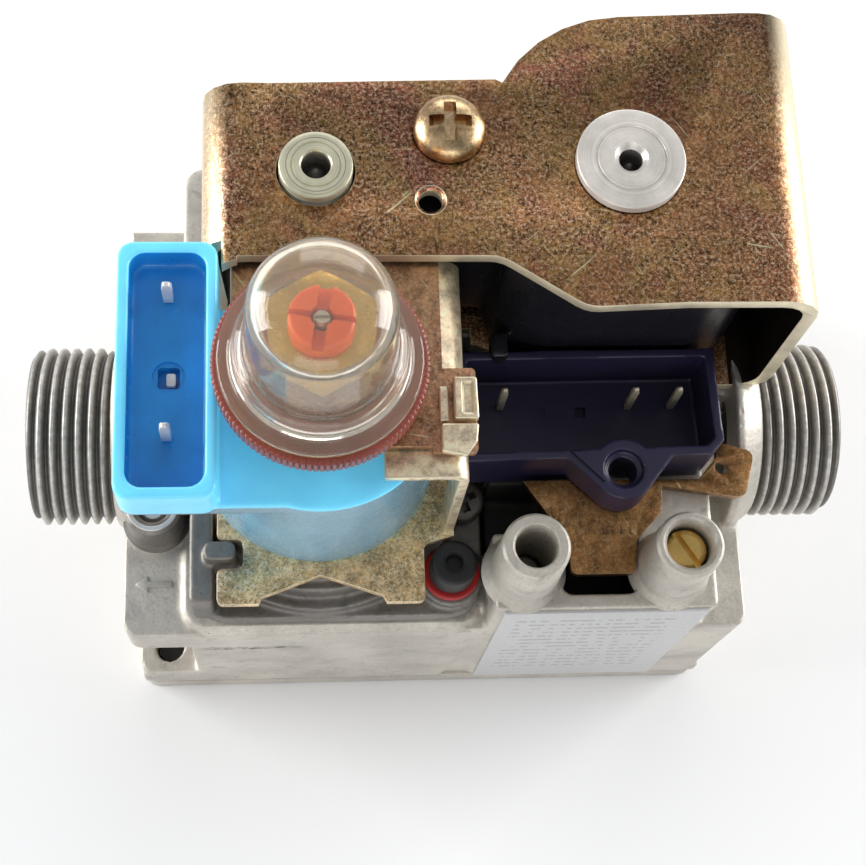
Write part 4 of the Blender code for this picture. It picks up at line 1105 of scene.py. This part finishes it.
def adjusters():
    """The brass hexagon nut and the orange knob inside it, which is slotted."""
    low, high = span("max_adjust_nut")
    hexagon_low = 92.3
    nut = rod(REG, hexagon_low, high.z, 7.7, sides=6)
    keep(nut, lathe("crown", REG, [(0.0, hexagon_low), (7.0, hexagon_low), (7.8, 93.0), (7.8, high.z - 0.6),
                                   (6.6, high.z), (0.0, high.z)]))
    join(nut, rod(REG, low.z, 93.0, 6.1))
    cut(nut, rod(REG, low.z - 1, high.z + 1, 2.4))
    dress(bevelled(nut, 0.15, 2), "adjust_nut", "brass", "max_nut", "max_adjust_nut", smooth=30.0)
    low, high = span("min_adjust_knob")
    knob = lathe("knob", REG, rounded([
        (1.3, low.z, 0), (1.3, high.z, 0.15), (3.9, high.z, 0.5), (4.0, high.z - 3.7, 0.2),
        (2.0, high.z - 3.7, 0), (2.0, low.z, 0)]))
    for angle, half in ((82, 0.7), (172, 0.4)):
        bm = bmesh.new()
        bmesh.ops.create_cube(bm, size=1.0)
        bmesh.ops.scale(bm, vec=(10.0, 2 * half, 2.8), verts=bm.verts)
        turn = Matrix.Translation((*REG, high.z)) @ Matrix.Rotation(math.radians(angle), 4, "Z")
        bmesh.ops.transform(bm, matrix=turn, verts=bm.verts)
        cut(knob, shape("slot", bm))
    dress(bevelled(knob, 0.15, 2), "adjust_knob", "orange", "min_knob", "min_adjust_knob", smooth=35.0)


def dome():
    """The clear cap: a domed cup with a stepped flange, open below."""
    low, high = span("clear_cap")
    foot, top = low.z - 1.2, high.z
    flange = (high.x - low.x) / 2 + 0.5
    radius, rise, wall = 8.9, 5.2, 1.1
    angles = [math.pi / 2 * i / 12 for i in range(12)]

    def crown(wide, tall):
        return [(wide * math.cos(a), top - rise + tall * math.sin(a) ** 0.9) for a in angles]

    outer = rounded([
        (flange - 2.4, foot, 0), (flange, foot, 0.4), (flange, foot + 1.3, 0.5), (11.2, foot + 1.6, 0.8),
        (10.6, foot + 4.9, 1.2), (9.4, foot + 5.6, 1.0), (radius, top - rise, 0)])[:-1]
    outer += crown(radius, rise) + [(0.0, top)]
    inner = [(0.0, top - wall)] + crown(radius - wall, rise - wall)[::-1]
    inner += rounded([(radius - wall, top - rise - 1, 0), (8.4, foot + 4.4, 0.8), (9.7, foot + 3.6, 0.8),
                      (9.9, foot, 0)])[1:-1]
    cap = lathe("dome", REG, inner + [(9.9, foot)] + outer, 128)
    dress(cap, "clear_dome", "clear", "cap", "clear_cap", smooth=60.0)


# ---------------- build

make_camera()
make_stage()
for entry in frame["record"]["subparts"]:
    recolour(entry["node"], SLOT_LOOK[entry["material_slot"]])
for node, look in NODE_LOOK.items():
    recolour(node, look)

casting()
threaded_end("thread_left", -1)
threaded_end("thread_right", 1)
nipple("nipple_left", "outlet_test_screw", 2.9, 0.3)
nipple("nipple_right", "inlet_test_screw", 3.2, 0.55)
offset_boss()
label()
cast_arrow()
slotted_head("inlet_screw_head", "inlet_test_screw", "brass", "inlet_screw", angle=-58.0)
slotted_head("cover_screw_1", "regulator_cover_screw_1", "cast_dark", "valve", cross=True, angle=20.0)
slotted_head("cover_screw_2", "regulator_cover_screw_2", "cast_dark", "valve", cross=True, angle=50.0)
slotted_head("bracket_screw_head", "bracket_screw", "screw_gold", "valve", cross=True, dome=0.3)
regulator_casting()
plug_and_seal()
bracket()
core_disc("ev1_disc", "ev1_core", (4.6,), 1.6, 0.7, "turned")
core_disc("ev2_disc", "ev2_core", (3.2, 4.1), 1.95, 0.2, "green_zinc")
coil_block()
connector()
earth_tongue()
modulator_base()
modulator_top()
blue_coil()
ridged_ring()
adjusters()
dome()
